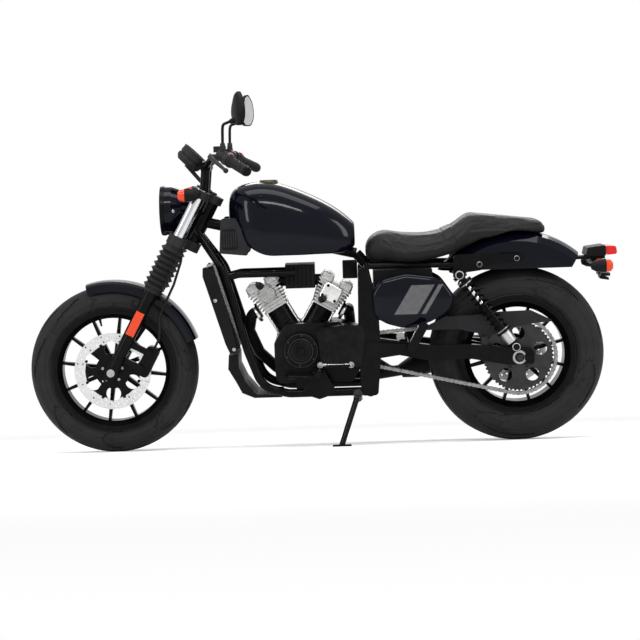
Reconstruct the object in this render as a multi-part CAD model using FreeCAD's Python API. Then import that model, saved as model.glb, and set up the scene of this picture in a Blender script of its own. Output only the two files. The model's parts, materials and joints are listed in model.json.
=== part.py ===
import FreeCAD, Part
import math
import os

# Cruiser motorcycle, parked on its side stand. Millimetres and degrees.
# It is modelled upright: X runs rearwards from the front axle, the rider's left is -Y, and Z is up
# from the ground. The last step leans the whole machine over onto its stand.

V = FreeCAD.Vector
ZERO = V(0, 0, 0)
ALONG_X = V(1, 0, 0)
ALONG_Y = V(0, 1, 0)
ALONG_Z = V(0, 0, 1)

# Whole machine
wheelbase = 1430.0
lean = 8.0
running_gap = 0.3
overrun = 2.0

# Wheels and tyres
front_tyre_r = 299.0
front_tyre_w = 120.0
front_bead_r = 204.0
front_rim_w = 92.0
front_rim_inner_r = 184.0
rear_tyre_r = 310.5
rear_tyre_w = 150.0
rear_bead_r = 191.5
rear_rim_w = 112.0
rear_rim_inner_r = 168.0
bead_gap = 0.3
flange_h = 10.0
flange_t = 5.0
rim_wall = 7.0
spoke_count = 12
spoke_root_w = 17.0
spoke_tip_w = 10.0
spoke_t = 22.0
hub_r = 38.0
hub_ring_r = 62.0
axle_r = 8.5

# Front brake
disc_r = 135.0
disc_inner_r = 97.0
disc_t = 5.0
disc_y = -72.0
carrier_window_r = 84.0
carrier_window_count = 6
pad_gap = 3.0
caliper_x = 72.0
caliper_z = 32.0
caliper_l = 112.0
lug_t = 12.0
caliper_lug_ups = (46.0, 108.0)
reflector_w = 30.0
reflector_l = 90.0
reflector_t = 8.0
caliper_depth = 48.0
caliper_inner_y = -53.0
caliper_outer_y = -96.0

# Fork and steering
rake = 28.5
fork_offset = 45.0
fork_half = 106.0
slider_r = 22.5
slider_low = -30.0
slider_top = 318.0
tube_r = 20.5
gaiter_top = 500.0
gaiter_r = 40.0
gaiter_valley_r = 29.0
gaiter_ribs = 8
lower_clamp_t = 34.0
upper_clamp_low = 686.0
upper_clamp_t = 28.0
clamp_r = 33.0
stem_r = 14.0
steer_gap = 0.5
front_axle_head_r = 14.0
front_axle_head_t = 8.0
front_boss_y = 80.0

# Front fender
fender_gap = 16.0
fender_t = 3.0
fender_half = 62.0
fender_skirt_r = 279.0
fender_rear_angle = 19.0
fender_front_angle = 106.0

# Headlight, instrument and front indicators
headlight_x = 192.0
headlight_z = 856.0
headlight_r = 86.0
headlight_depth = 107.0
headlight_wall = 3.0
lens_bulge = 12.0
instrument_x = 300.0
instrument_z = 1036.0
instrument_r = 48.0
instrument_t = 54.0
instrument_tilt = 44.0
indicator_r = 24.0
front_indicator_x = 262.0
front_indicator_y = 158.0
front_indicator_z = 912.0
front_indicator_l = 76.0
front_indicator_lens_l = 24.0

# Handlebar and what it carries
bar_r = 11.0
bar_x = 354.0
bar_z = 1004.0
bar_half = 370.0
riser_half = 48.0
riser_r = 16.0
bar_rise = 34.0
bar_end_x = 512.0
bar_end_z = 992.0
bar_bend = 60.0
grip_r = 17.0
grip_l = 120.0
switch_r = 22.0
switch_l = 46.0
lever_t = 9.0
lever_reach = 62.0
reservoir_l = 44.0
mirror_h = 112.0
mirror_w = 118.0
mirror_t = 22.0
mirror_rise = 128.0
mirror_back = 46.0
mirror_out = 62.0
mirror_stem_r = 5.0

# Fuel tank
tank_x = 429.0
tank_z = 690.0
tank_l = 440.0
tank_h = 257.0
tank_w = 268.0
cap_r = 33.5
cap_h = 14.0
cap_from_tank_front = 142.0

# Frame
head_tube_r = 27.0
head_tube_bore_r = 20.0
backbone_r = 19.0
backbone_rear_x = 872.0
backbone_rear_z = 684.0
cradle_r = 15.0
cradle_half = 120.0
cradle_low_z = 207.0
cradle_bend = 90.0
rail_r = 11.0
rail_half = 100.0
seat_base_z = 654.0
upper_brace_r = 11.0
pivot_x = 907.0
pivot_z = 372.0
pivot_plate_t = 8.0
pivot_plate_gap = 5.0
engine_lug_t = 5.0
pivot_bolt_r = 8.0

# Swingarm and rear axle
arm_half = 117.0
arm_t = 28.0
arm_h = 52.0
arm_cross_r = 26.0
arm_cross_back = 118.0
pivot_boss_r = 27.0
rear_axle_head_r = 16.0
rear_axle_head_t = 9.0

# Chain drive
chain_y = -92.0
chain_pitch = 15.875
chain_w = 16.0
chain_plate_h = 14.0
chain_waist_h = 9.5
front_teeth = 16
rear_teeth = 52
front_sprocket_x = 820.0
front_sprocket_z = 359.0
sprocket_t = 7.0
chain_tooth_gap = 0.8
rear_disc_r = 115.0
rear_disc_y = 84.0

# Shock absorbers
shock_top_x = 1226.0
shock_top_z = 606.0
shock_low_x = 1417.0
shock_low_z = 350.0
shock_y = 143.0
shock_eye_r = 17.0
shock_body_r = 16.0
shock_rod_r = 7.0
spring_r = 26.0
spring_wire = 8.0
spring_turns = 9.0
spring_low_share = 0.24
spring_top_share = 0.88

# Seat
seat_x = 900.0
seat_l = 638.0
seat_h = 160.0
rider_seat_w = 290.0
pillion_seat_w = 205.0

# Rear fender and its rails
rear_fender_rise = 91.0
rear_fender_r = 347.0
rear_fender_half = 95.0
rear_fender_t = 3.0
rear_fender_low_z = 617.0
rear_fender_end_x = 1660.0
strut_t = 7.0
strut_x = 1213.0
strut_l = 250.0
strut_z = 618.0
strut_h = 58.0

# Tail
tail_bracket_x = 1612.0
tail_lamp_x = 1676.0
tail_lamp_z = 650.0
tail_lamp_l = 72.0
tail_lamp_h = 38.0
tail_lamp_w = 112.0
tail_lens_l = 40.0
rear_indicator_x = 1682.0
rear_indicator_z = 621.0
rear_indicator_y = 130.0
rear_indicator_l = 78.0
rear_indicator_lens_l = 24.0
plate_holder_w = 120.0
plate_holder_t = 3.0
plate_holder_h = 110.0

# Engine
crank_x = 668.0
crank_z = 357.0
bank_angle = 30.0
case_half = 100.0
case_narrow_half = 74.0
case_x = 545.0
case_l = 345.0
case_z = 234.0
case_h = 226.0
barrel_low = 84.0
barrel_high = 166.0
barrel_w = 92.0
head_high = 262.0
head_w = 128.0
head_low_w = 92.0
fin_count = 8
fin_t = 3.0
fin_deep = 12.0
rocker_h = 22.0
rocker_r = 27.0
alternator_r = 62.0
alternator_ring_r = 47.0
alternator_t = 44.0
clutch_x = 742.0
clutch_r = 88.0
clutch_t = 34.0
sprocket_cover_t = 4.0
sprocket_cover_y = -149.0
intake_x = 620.0
intake_z = 570.0
intake_l = 104.0
intake_h = 84.0
intake_half = 58.0

# Radiator, its shroud and the lower fairing
radiator_w = 236.0
radiator_t = 37.0
radiator_low_x = 421.0
radiator_low_z = 361.0
radiator_l = 305.0
radiator_lean = 16.6
shroud_w = 44.0
shroud_t = 14.0

# Exhaust
pipe_r = 20.0
pipe_bend = 45.0
muffler_r = 42.0
muffler_y = 184.0
muffler_l = 300.0
muffler_x = 1040.0
muffler_z = 240.0
muffler_rise = 17.0

# Side covers, battery box, foot controls and the small parts
box_x = 930.0
box_l = 205.0
box_z = 452.0
box_h = 176.0
box_half = 99.0
side_cover_x = 919.0
side_cover_l = 289.0
side_cover_z = 427.0
side_cover_h = 192.0
side_cover_t = 34.0
peg_r = 16.0
peg_l = 92.0
peg_x = 728.0
peg_z = 280.0
bracket_t = 6.0
pedal_r = 6.0
toe_r = 10.0
pillion_peg_x = 1046.0
pillion_peg_z = 352.0
pillion_peg_l = 112.0
pillion_peg_w = 30.0

# Side stand
stand_x = 862.0
stand_y = -160.0
stand_z = 200.0
foot_x = 802.0
foot_y = -246.0
foot_l = 64.0
foot_w = 46.0
foot_t = 7.0
stand_r = 10.0
stand_boss_r = 16.0
stand_boss_t = 20.0
stand_fold_rise = 10.0

# Hose, vent covers, peg brackets, pedals, chain guard and rear caliper
hose_r = 4.5
hose_y = -74.0
hose_back = 34.0
hose_bend = 60.0
vent_x = 394.0
vent_z = 693.0
vent_l = 110.0
vent_h = 132.0
vent_y = 82.0
vent_t = 15.0
vent_slots = 4
bracket_l = 108.0
bracket_h = 110.0
peg_gap = 10.0
peg_ribs = 6
pedal_l = 90.0
pedal_rise = 4.0
brake_rise = 20.0
pad_l = 52.0
link_l = 96.0
brace_l = 246.0
brace_rise = 11.0
guard_x = 1105.0
guard_z = 370.0
guard_l = 451.0
guard_h = 102.0
guard_t = 3.0
rear_caliper_angle = 46.0

# Worked out from the sizes above
rear_axle_z = rear_tyre_r
front_axle = V(0, 0, front_tyre_r)
rear_axle = V(wheelbase, 0, rear_axle_z)
crank = V(crank_x, 0, crank_z)
rake_sin = math.sin(math.radians(rake))
rake_cos = math.cos(math.radians(rake))
lean_sin = math.sin(math.radians(lean))
lean_cos = math.cos(math.radians(lean))
front_pitch_r = chain_pitch / (2 * math.sin(math.pi / front_teeth))
rear_pitch_r = chain_pitch / (2 * math.sin(math.pi / rear_teeth))
head_low = gaiter_top + lower_clamp_t
fender_r = front_tyre_r + fender_gap + fender_t


def mirrored(shape):
    """The same piece on the rider's other side."""
    return shape.mirror(ZERO, ALONG_Y)


def pair(shape):
    """A piece and its mirror image, which don't touch."""
    return Part.makeCompound([shape, mirrored(shape)])


def rod(start, end, radius):
    """Round bar between two points."""
    run = end.sub(start)
    return Part.makeCylinder(radius, run.Length, start, run)


def cross_rod(x, z, y_from, y_to, radius):
    """Round bar that lies across the machine."""
    return rod(V(x, y_from, z), V(x, y_to, z), radius)


def tapered(start, end, start_r, end_r):
    """Round bar that changes its radius evenly."""
    run = end.sub(start)
    return Part.makeCone(start_r, end_r, run.Length, start, run)


def corner_arc(before, corner, after, bend):
    """Tangent arc at a corner: its start, middle and end."""
    inward = before.sub(corner)
    outward = after.sub(corner)
    reach = min(inward.Length, outward.Length) * 0.45
    inward.normalize()
    outward.normalize()
    half = inward.getAngle(outward) / 2
    cut = min(bend / math.tan(half), reach)
    radius = cut * math.tan(half)
    middle_line = inward.add(outward).normalize()
    middle_cut = radius / math.sin(half) - radius
    return [corner.add(inward * cut), corner.add(middle_line * middle_cut), corner.add(outward * cut)]


def turns(before, corner, after):
    """Whether a path changes direction at a corner."""
    return corner.sub(before).getAngle(after.sub(corner)) > 0.01


def bent_edges(points, bend, closed):
    """Straight runs joined by tangent arcs. Points where the path runs straight on are passed over."""
    if closed:
        points = [p for i, p in enumerate(points) if turns(points[i - 1], p, points[(i + 1) % len(points)])]
    else:
        inner = [points[i] for i in range(1, len(points) - 1) if turns(points[i - 1], points[i], points[i + 1])]
        points = [points[0]] + inner + [points[-1]]
    count = len(points)
    corners = range(count) if closed else range(1, count - 1)
    arcs = [corner_arc(points[i - 1], points[i], points[(i + 1) % count], bend) for i in corners]
    edges = []
    here = arcs[-1][2] if closed else points[0]
    for start, middle, end in arcs:
        edges.append(Part.LineSegment(here, start).toShape())
        edges.append(Part.Arc(start, middle, end).toShape())
        here = end
    if not closed:
        edges.append(Part.LineSegment(here, points[-1]).toShape())
    return edges


def bent_tube(points, radius, bend):
    """Round tube along a path of straight runs and tangent arcs."""
    path = Part.Wire(bent_edges(points, bend, False))
    ring = Part.Wire(Part.Circle(points[0], points[1].sub(points[0]), radius).toShape())
    return path.makePipeShell([ring], True, False)


def side_points(x, z, length, height, shares):
    """Side view points from shares of a length and a height."""
    return [V(x + length * a, 0, z + height * b) for a, b in shares]


def slab(points, y_from, y_to, bend=0):
    """Flat piece with a side view outline, between two distances across."""
    low = min(y_from, y_to)
    placed = [V(p.x, low, p.z) for p in points]
    if bend:
        outline = Part.Wire(bent_edges(placed, bend, True))
    else:
        outline = Part.makePolygon(placed + placed[:1])
    return Part.Face(outline).extrude(V(0, abs(y_to - y_from), 0))


def turned(profile, centre, axis=ALONG_Y, angle=360):
    """Solid turned about an axis through a centre. The profile lists (along the axis, radius)."""
    axis = V(axis).normalize()
    out = ALONG_Z if abs(axis.z) < 0.9 else ALONG_X
    out = out.sub(axis * out.dot(axis)).normalize()
    points = [centre.add(axis * along).add(out * radius) for along, radius in profile]
    face = Part.Face(Part.makePolygon(points + points[:1]))
    return face.revolve(centre, axis, angle)


def block(x, y, z, length, width, height):
    """Box from its lowest corner."""
    return Part.makeBox(length, width, height, V(x, y, z))


def ring_of(shape, count, centre, axis=ALONG_Y):
    """Copies of a shape spaced evenly round an axis."""
    copies = []
    for i in range(count):
        copy = shape.copy()
        copy.rotate(centre, axis, 360 * i / count)
        copies.append(copy)
    return copies


def spoke(axle_at, root_r, tip_r, phase):
    """One tapered spoke, from the hub to the rim."""
    half_t = spoke_t / 2
    points = [
        axle_at.add(V(-spoke_root_w / 2, 0, root_r)),
        axle_at.add(V(spoke_root_w / 2, 0, root_r)),
        axle_at.add(V(spoke_tip_w / 2, 0, tip_r)),
        axle_at.add(V(-spoke_tip_w / 2, 0, tip_r)),
    ]
    shape = slab(points, -half_t, half_t)
    shape.rotate(axle_at, ALONG_Y, phase)
    return shape


def wheel(axle_at, bead_r, rim_w, inner_r, hub_profile, phase):
    """Cast wheel: dropped-centre rim, spokes and a hub bored for its axle."""
    half = rim_w / 2
    lip_r = bead_r + flange_h
    well = half - rim_wall * 3
    floor_r = inner_r + rim_wall
    rim = turned(
        [
            (half, lip_r),
            (half - flange_t, lip_r),
            (half - flange_t, bead_r),
            (well, bead_r - rim_wall / 2),
            (well - rim_wall, floor_r),
            (-well + rim_wall, floor_r),
            (-well, bead_r - rim_wall / 2),
            (-half + flange_t, bead_r),
            (-half + flange_t, lip_r),
            (-half, lip_r),
            (-half, bead_r - rim_wall / 2),
            (-well, inner_r),
            (well, inner_r),
            (half, bead_r - rim_wall / 2),
        ],
        axle_at,
    )
    hub = turned(hub_profile, axle_at)
    spokes = ring_of(spoke(axle_at, hub_r - overrun, inner_r + overrun, phase), spoke_count, axle_at)
    return rim.multiFuse([hub] + spokes).removeSplitter()


def tyre(axle_at, outer_r, width, bead_r, rim_w):
    """Tyre with a round crown, bulging walls and beads inside the rim's flanges."""
    seat_half = rim_w / 2 - flange_t - bead_gap
    seat_r = bead_r + bead_gap
    wall = outer_r - seat_r
    half = width / 2
    side = [
        (0, outer_r),
        (half * tyre_crown_shares[0], outer_r - wall * tyre_drop_shares[0]),
        (half * tyre_crown_shares[1], outer_r - wall * tyre_drop_shares[1]),
        (half, outer_r - wall * tyre_drop_shares[2]),
        (seat_half, bead_r + flange_h + flange_t),
        (seat_half, seat_r),
    ]
    return turned(side + [(-along, radius) for along, radius in reversed(side[1:])], axle_at)


tyre_crown_shares = (0.48, 0.87)
tyre_drop_shares = (0.065, 0.25, 0.52)


def front_hub_profile():
    """Front hub: spacers, barrel and the disc's flange on the left."""
    end = front_boss_y - running_gap
    flange = abs(disc_y) - disc_t / 2
    return [
        (-end, axle_r + running_gap),
        (-end, hub_r / 2),
        (-flange, hub_r / 2),
        (-flange, hub_ring_r),
        (-flange + rim_wall, hub_ring_r),
        (-flange + rim_wall * 2, hub_r),
        (flange, hub_r),
        (flange, hub_r / 2),
        (end, hub_r / 2),
        (end, axle_r + running_gap),
    ]


def front_wheel():
    return wheel(front_axle, front_bead_r, front_rim_w, front_rim_inner_r, front_hub_profile(), 8)


def front_tyre():
    return tyre(front_axle, front_tyre_r, front_tyre_w, front_bead_r, front_rim_w)


def brake_disc(axle_at, y, outer_r, inner_r, windows_r, centre_r):
    """Flat steel ring on a windowed carrier that sits on the hub's flange."""
    half = disc_t / 2
    centre = axle_at.add(V(0, y, 0))
    ring = turned([(-half, inner_r), (-half, outer_r), (half, outer_r), (half, inner_r)], centre)
    carrier = turned([(-half, centre_r), (-half, inner_r), (half, inner_r), (half, centre_r)], centre)
    window = cross_rod(centre.x, centre.z + windows_r, y - disc_t, y + disc_t, (inner_r - centre_r) / 3)
    return ring.fuse(carrier).cut(Part.makeCompound(ring_of(window, carrier_window_count, centre)))


def front_disc():
    windows_r = carrier_window_r - overrun * 2
    return brake_disc(front_axle, disc_y, disc_r, disc_inner_r, windows_r, hub_r / 2 + running_gap)


def raked(shape):
    """Turns a piece from the upright fork's frame, its origin on the front axle, into place."""
    shape.rotate(ZERO, ALONG_Y, rake)
    shape.translate(front_axle)
    return shape


def fork_point(up, forward, y):
    """Point given up along the fork legs, forward of them and across."""
    return V(up * rake_sin - forward * rake_cos, y, front_tyre_r + up * rake_cos + forward * rake_sin)


def fork_sliders():
    """Lower legs: a tube, the axle clamp, and on the left the lugs of the caliper."""
    y = -fork_half
    leg = rod(V(0, y, slider_low), V(0, y, slider_top), slider_r)
    collar = rod(V(0, y, slider_top - clamp_r), V(0, y, slider_top), slider_r + overrun)
    boss = cross_rod(0, 0, -front_boss_y, y - slider_r, slider_r)
    bore = cross_rod(0, 0, 0, y * 2, axle_r + running_gap)
    leg = leg.fuse(collar).fuse(boss)
    right = mirrored(leg)
    lug_y = caliper_outer_y - running_gap - lug_t
    lug_l = caliper_x + caliper_depth / 2
    lugs = [block(0, lug_y, up, lug_l, lug_t, slider_r) for up in caliper_lug_ups]
    left = leg.multiFuse(lugs)
    return Part.makeCompound([raked(left.cut(bore)), raked(right.cut(mirrored(bore)))])


def front_axle_bar():
    reach = fork_half + slider_r + running_gap
    bar = cross_rod(0, 0, -reach - overrun, reach + overrun, axle_r)
    head = cross_rod(0, 0, -reach - front_axle_head_t, -reach, front_axle_head_r)
    return raked(bar.multiFuse([head, mirrored(head)]))


def fork_tubes():
    top = upper_clamp_low + upper_clamp_t + overrun
    tube = rod(V(0, -fork_half, slider_top), V(0, -fork_half, top), tube_r)
    return raked(pair(tube))


def gaiter_profile():
    """Bellows: collar, ribs and collar, outside a clear bore."""
    length = gaiter_top - slider_top
    step = length / (gaiter_ribs + 1)
    profile = [(slider_top, tube_r + running_gap), (slider_top, gaiter_valley_r)]
    for i in range(gaiter_ribs):
        low = slider_top + step * (i + 0.5)
        profile.append((low, gaiter_valley_r))
        profile.append((low + step / 2, gaiter_r))
    profile.append((gaiter_top - step / 2, gaiter_valley_r))
    profile.append((gaiter_top, gaiter_valley_r))
    profile.append((gaiter_top, tube_r + running_gap))
    return profile


def fork_gaiters():
    return raked(pair(turned(gaiter_profile(), V(0, -fork_half, 0), ALONG_Z)))


def clamp_plate(low, thick):
    """Triple clamp: three rounded bosses and the webs between them."""
    back = fork_offset
    legs = [rod(V(0, y, low), V(0, y, low + thick), clamp_r) for y in (-fork_half, fork_half)]
    middle = rod(V(back, 0, low), V(back, 0, low + thick), clamp_r + overrun)
    web = [V(-clamp_r / 4, -fork_half, low), V(-clamp_r / 4, fork_half, low), V(back, clamp_r, low)]
    web = web + [V(back, -clamp_r, low)]
    web = Part.Face(Part.makePolygon(web + web[:1])).extrude(V(0, 0, thick))
    return middle.multiFuse(legs + [web]).removeSplitter()


def steering_clamps():
    """Both triple clamps, joined by the stem that turns in the head tube."""
    lower = clamp_plate(gaiter_top, lower_clamp_t)
    upper = clamp_plate(upper_clamp_low, upper_clamp_t)
    stem = rod(V(fork_offset, 0, gaiter_top), V(fork_offset, 0, upper_clamp_low + overrun), stem_r)
    tubes = pair(rod(V(0, -fork_half, 0), V(0, -fork_half, upper_clamp_low * 2), tube_r))
    return raked(lower.multiFuse([upper, stem]).cut(tubes))


def arch_profile(half, crown_r, skirt_r, thick):
    """Section of a fender: a round crown between two skirts, as one closed band."""
    outer = arch_half(half, crown_r, skirt_r)
    inner = arch_half(half - thick, crown_r - thick, skirt_r)
    outer = outer + [(-a, r) for a, r in reversed(outer[:-1])]
    inner = inner + [(-a, r) for a, r in reversed(inner[:-1])]
    return outer + list(reversed(inner))


def arch_half(half, crown_r, skirt_r):
    """Half of the section's line, from the skirt's edge up to the crown."""
    drop = crown_r - skirt_r
    return [(half * a, crown_r - drop * b) for a, b in arch_shares]


arch_shares = ((1.0, 1.0), (1.0, 0.5), (0.94, 0.26), (0.72, 0.09), (0.38, 0.02), (0, 0))


def front_fender():
    """Shell over the tyre, held by a lug against each slider."""
    sweep = fender_front_angle - fender_rear_angle
    shell = turned(arch_profile(fender_half, fender_r, fender_skirt_r, fender_t), ZERO, ALONG_Y, sweep)
    shell.rotate(ZERO, ALONG_Y, 90 - fender_front_angle)
    shell.translate(front_axle)
    reach = fork_half - slider_r - overrun - fender_half
    lug = block(-slider_r / 2, fender_half - fender_t, fender_skirt_r, slider_r, reach + fender_t, slider_r)
    return shell.fuse(raked(pair(lug)))


headlight_shares = ((0, 1.0), (0.34, 1.0), (0.66, 0.86), (0.88, 0.62), (1.0, 0.34))


def headlight_centre():
    return V(headlight_x, 0, headlight_z)


def headlight_shell():
    """Open bowl with a rim, and the two arms that hold it to the fork tubes."""
    outer = [(headlight_depth * a, headlight_r * b) for a, b in headlight_shares]
    wall = headlight_wall
    inner = [(max(a - wall, 0), r - wall) for a, r in outer]
    profile = outer + [(headlight_depth, 0), (headlight_depth - wall, 0)] + list(reversed(inner))
    bowl = turned(profile, headlight_centre(), ALONG_X)
    tube_x = (headlight_z - front_tyre_r) / rake_cos * rake_sin
    reach = fork_half - tube_r - running_gap
    arm = cross_rod(tube_x, headlight_z, -reach, reach, rim_wall)
    return bowl.fuse(arm)


def headlight_lens():
    """Slightly domed glass in the mouth of the shell."""
    edge = headlight_r - headlight_wall - running_gap
    profile = [
        (headlight_wall, 0),
        (headlight_wall, edge),
        (0, edge),
        (-lens_bulge * 0.6, edge * 0.6),
        (-lens_bulge, 0),
    ]
    return turned(profile, headlight_centre(), ALONG_X)


def instrument():
    """Round two-ring instrument on a stalk from the upper clamp."""
    centre = V(instrument_x, 0, instrument_z)
    tilt = math.radians(instrument_tilt)
    axis = V(math.sin(tilt), 0, math.cos(tilt))
    half = instrument_t / 2
    profile = [
        (-half, 0),
        (-half, instrument_r * 0.8),
        (-half * 0.6, instrument_r),
        (-half * 0.1, instrument_r),
        (-half * 0.1, instrument_r * 0.93),
        (half * 0.1, instrument_r * 0.93),
        (half * 0.1, instrument_r),
        (half, instrument_r),
        (half, instrument_r * 0.9),
        (half * 0.86, instrument_r * 0.86),
        (half * 0.86, 0),
    ]
    body = turned(profile, centre, axis)
    foot = fork_point(upper_clamp_low + upper_clamp_t, -fork_offset * 0.7, 0)
    stalk = rod(foot, centre.sub(axis * half), rim_wall)
    pad = rod(foot, foot.add(V(rake_sin, 0, rake_cos) * rim_wall), hub_r / 2)
    return body.multiFuse([stalk.cut(below_upper_clamp()), pad.cut(below_upper_clamp())])


def front_indicator_parts():
    """Left indicator: bullet body on a stalk, and its lens."""
    start = V(front_indicator_x, -front_indicator_y, front_indicator_z)
    lens_l = front_indicator_lens_l
    lens = turned(bullet_lens(lens_l), start, ALONG_X)
    body = turned(bullet_body(lens_l, front_indicator_l), start, ALONG_X)
    middle = start.add(V(front_indicator_l * 0.7, 0, 0))
    up = upper_clamp_low + upper_clamp_t / 2
    root = fork_point(up, 0, -fork_half - clamp_r - running_gap)
    tip = V(root.x, middle.y, root.z)
    stalk = rod(root, tip, rim_wall).fuse(rod(tip, middle, rim_wall))
    return body.fuse(stalk), lens


def bullet_lens(length):
    """Domed lens of an indicator, from its tip."""
    return [(0, 0), (0, indicator_r * 0.5), (length * 0.3, indicator_r * 0.86)] + [
        (length, indicator_r * 0.96),
        (length, 0),
    ]


def bullet_body(lens_l, length):
    """Indicator body behind its lens, tapered to a round tail."""
    return [(lens_l, 0), (lens_l, indicator_r), (lens_l * 1.3, indicator_r)] + [
        (length * 0.75, indicator_r * 0.82),
        (length * 0.95, indicator_r * 0.5),
        (length, 0),
    ]


def front_indicators():
    return pair(front_indicator_parts()[0])


def front_indicator_lenses():
    return pair(front_indicator_parts()[1])


def bar_points():
    """Left half of the handlebar, from the middle to its end."""
    middle = V(bar_x, 0, bar_z)
    reach = V(bar_end_x - bar_x, -bar_half, bar_end_z - bar_z)
    points = [middle]
    for out, back, rise in bar_shares:
        points.append(middle.add(V(reach.x * back, reach.y * out, bar_rise * rise)))
    return points + [middle.add(reach)]


bar_shares = ((0.17, 0.0, 0.0), (0.32, 0.17, 0.94), (0.6, 0.5, 1.0))


def along_bar(back_from_end):
    """Point on the grip's line, a length back from the bar's end."""
    points = bar_points()
    line = points[-2].sub(points[-1]).normalize()
    return points[-1].add(line * back_from_end)


def below_upper_clamp():
    """All the space under the upper clamp's top face, which what stands on it is cut back from."""
    top = upper_clamp_low + upper_clamp_t + running_gap
    return raked(block(-bar_half, -bar_half, 0, bar_half * 2, bar_half * 2, top))


def bar_space():
    """The left half of the bar with the running gap round it."""
    return bent_tube(bar_points(), bar_r + running_gap, bar_bend)


def handlebar():
    """Bent bar in two risers on the upper clamp."""
    left = bent_tube(bar_points(), bar_r, bar_bend)
    centre = V(bar_x, -riser_half, bar_z)
    base = fork_point(upper_clamp_low, -fork_offset * 0.4, -riser_half)
    collar = cross_rod(bar_x, bar_z, -riser_half - riser_r, -riser_half + riser_r, riser_r * 1.2)
    riser = rod(base, centre, riser_r).fuse(collar).cut(below_upper_clamp())
    return left.multiFuse([riser, mirrored(left), mirrored(riser)])


def grips():
    """Rubber grips with flanged ends on the bar's ends."""
    sleeve = rod(along_bar(-overrun), along_bar(grip_l), grip_r)
    flange = rod(along_bar(grip_l - disc_t), along_bar(grip_l), grip_r * 1.25)
    return pair(sleeve.fuse(flange).cut(bar_space()))


def switch_housing():
    """Left switch housing, its lever and perch, and the mirror's boss."""
    inner = grip_l + running_gap
    shell = rod(along_bar(inner), along_bar(inner + switch_l), switch_r)
    perch_at = along_bar(inner + switch_l * 1.5)
    perch = rod(along_bar(inner + switch_l * 1.1), along_bar(inner + switch_l * 1.9), switch_r * 0.9)
    pivot = perch_at.add(V(-switch_r * 2, 0, 0))
    arm = rod(perch_at, pivot, lever_t)
    tip = along_bar(grip_l * 0.12).add(V(-lever_reach, 0, 0))
    blade = tapered(pivot, tip, lever_t, lever_t * 0.6)
    knob = Part.makeSphere(lever_t, tip)
    return shell.multiFuse([perch, arm, blade, knob]).cut(bar_space())


def switchgear():
    """Both housings and levers, with the brake's reservoir on the right."""
    left = switch_housing()
    right = mirrored(left)
    at = along_bar(grip_l + switch_l * 1.6)
    low_x = at.x - reservoir_l - mirror_stem_r * 2.5
    tank = block(low_x, -at.y - reservoir_l / 2, at.z + switch_r / 2, reservoir_l, reservoir_l, switch_r)
    return Part.makeCompound([left, right.fuse(tank)])


def mirrors():
    """Mirrors on bent stems that stand on the switch housings' perches."""
    base = along_bar(grip_l + switch_l * 1.5).add(V(0, 0, switch_r * 0.7))
    perch = rod(along_bar(grip_l + switch_l), along_bar(grip_l + switch_l * 2), switch_r * 0.9 + running_gap)
    elbow = base.add(V(0, 0, mirror_rise * 0.66))
    back = base.add(V(mirror_back, -mirror_out, mirror_rise))
    stem = bent_tube([base, elbow, back], mirror_stem_r, mirror_out / 2)
    boot = tapered(base, base.add(V(0, 0, mirror_rise * 0.2)), mirror_stem_r * 2.2, mirror_stem_r * 1.5)
    points = [V(0, mirror_w * a, mirror_h * b) for a, b in mirror_shares]
    face = Part.Face(Part.Wire(bent_edges(points, mirror_w / 4, True)))
    shell = face.extrude(V(-mirror_t, 0, 0))
    shell.translate(back.add(V(mirror_t, 0, mirror_h * 0.1)))
    return pair(stem.multiFuse([boot, shell]).cut(perch))


mirror_shares = ((-0.5, 0.32), (-0.28, 0.5), (0.3, 0.46), (0.5, 0.12), (0.3, -0.36), (-0.1, -0.5), (-0.44, -0.2))


def fork_reflectors():
    """Orange reflectors on the outer faces of the sliders."""
    y = -fork_half - slider_r - running_gap - reflector_t
    middle = slider_top * 0.61
    plate = block(-reflector_w / 2, y, middle - reflector_l / 2, reflector_w, reflector_t, reflector_l)
    return raked(pair(plate))


def front_caliper():
    """Caliper over the disc's rear edge, bolted inside the slider's lugs."""
    low = caliper_z
    points = [
        V(caliper_x, 0, low),
        V(caliper_x, 0, low + caliper_l),
        V(caliper_x + caliper_depth, 0, low + caliper_l),
        V(caliper_x + caliper_depth, 0, low),
    ]
    body = slab(points, caliper_outer_y, caliper_inner_y, caliper_depth / 3)
    slot_half = disc_t / 2 + pad_gap
    slot = cross_rod(0, 0, disc_y - slot_half, disc_y + slot_half, disc_r + pad_gap * 2)
    return raked(body.cut(slot))


hose_shares = ((0.0, 0.0), (0.12, 0.5), (0.36, 0.9), (0.7, 1.0), (1.0, 0.55))


def brake_hose():
    """Hose from under the lower clamp, behind the left leg, down to the caliper."""
    top = V(fork_offset * 0.6, hose_y, gaiter_top - running_gap)
    end = V(caliper_x + caliper_depth / 2, hose_y, caliper_z + caliper_l + running_gap)
    drop = end.z - top.z
    points = [V(top.x + hose_back * back, hose_y, top.z + drop * down) for down, back in hose_shares]
    points[-1] = end.add(V(0, 0, hose_back))
    return raked(bent_tube(points + [end], hose_r, hose_bend))


def rear_hub_profile():
    """Rear hub: barrel with flanges for the sprocket and the disc."""
    left = chain_y + sprocket_t / 2 + running_gap
    right = rear_disc_y - disc_t / 2 - running_gap
    left_end = arm_half - arm_t / 2 - running_gap * 2
    core = axle_r + running_gap
    return [
        (-left_end, core),
        (-left_end, hub_r / 2),
        (left, hub_r / 2),
        (left, hub_ring_r),
        (left + rim_wall * 2, hub_ring_r),
        (left + rim_wall * 3, hub_r),
        (right - rim_wall * 2, hub_r),
        (right - rim_wall, hub_ring_r),
        (right, hub_ring_r),
        (right, hub_r / 2),
        (left_end, hub_r / 2),
        (left_end, core),
    ]


def rear_wheel():
    return wheel(rear_axle, rear_bead_r, rear_rim_w, rear_rim_inner_r, rear_hub_profile(), 16)


def rear_tyre():
    return tyre(rear_axle, rear_tyre_r, rear_tyre_w, rear_bead_r, rear_rim_w)


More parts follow.
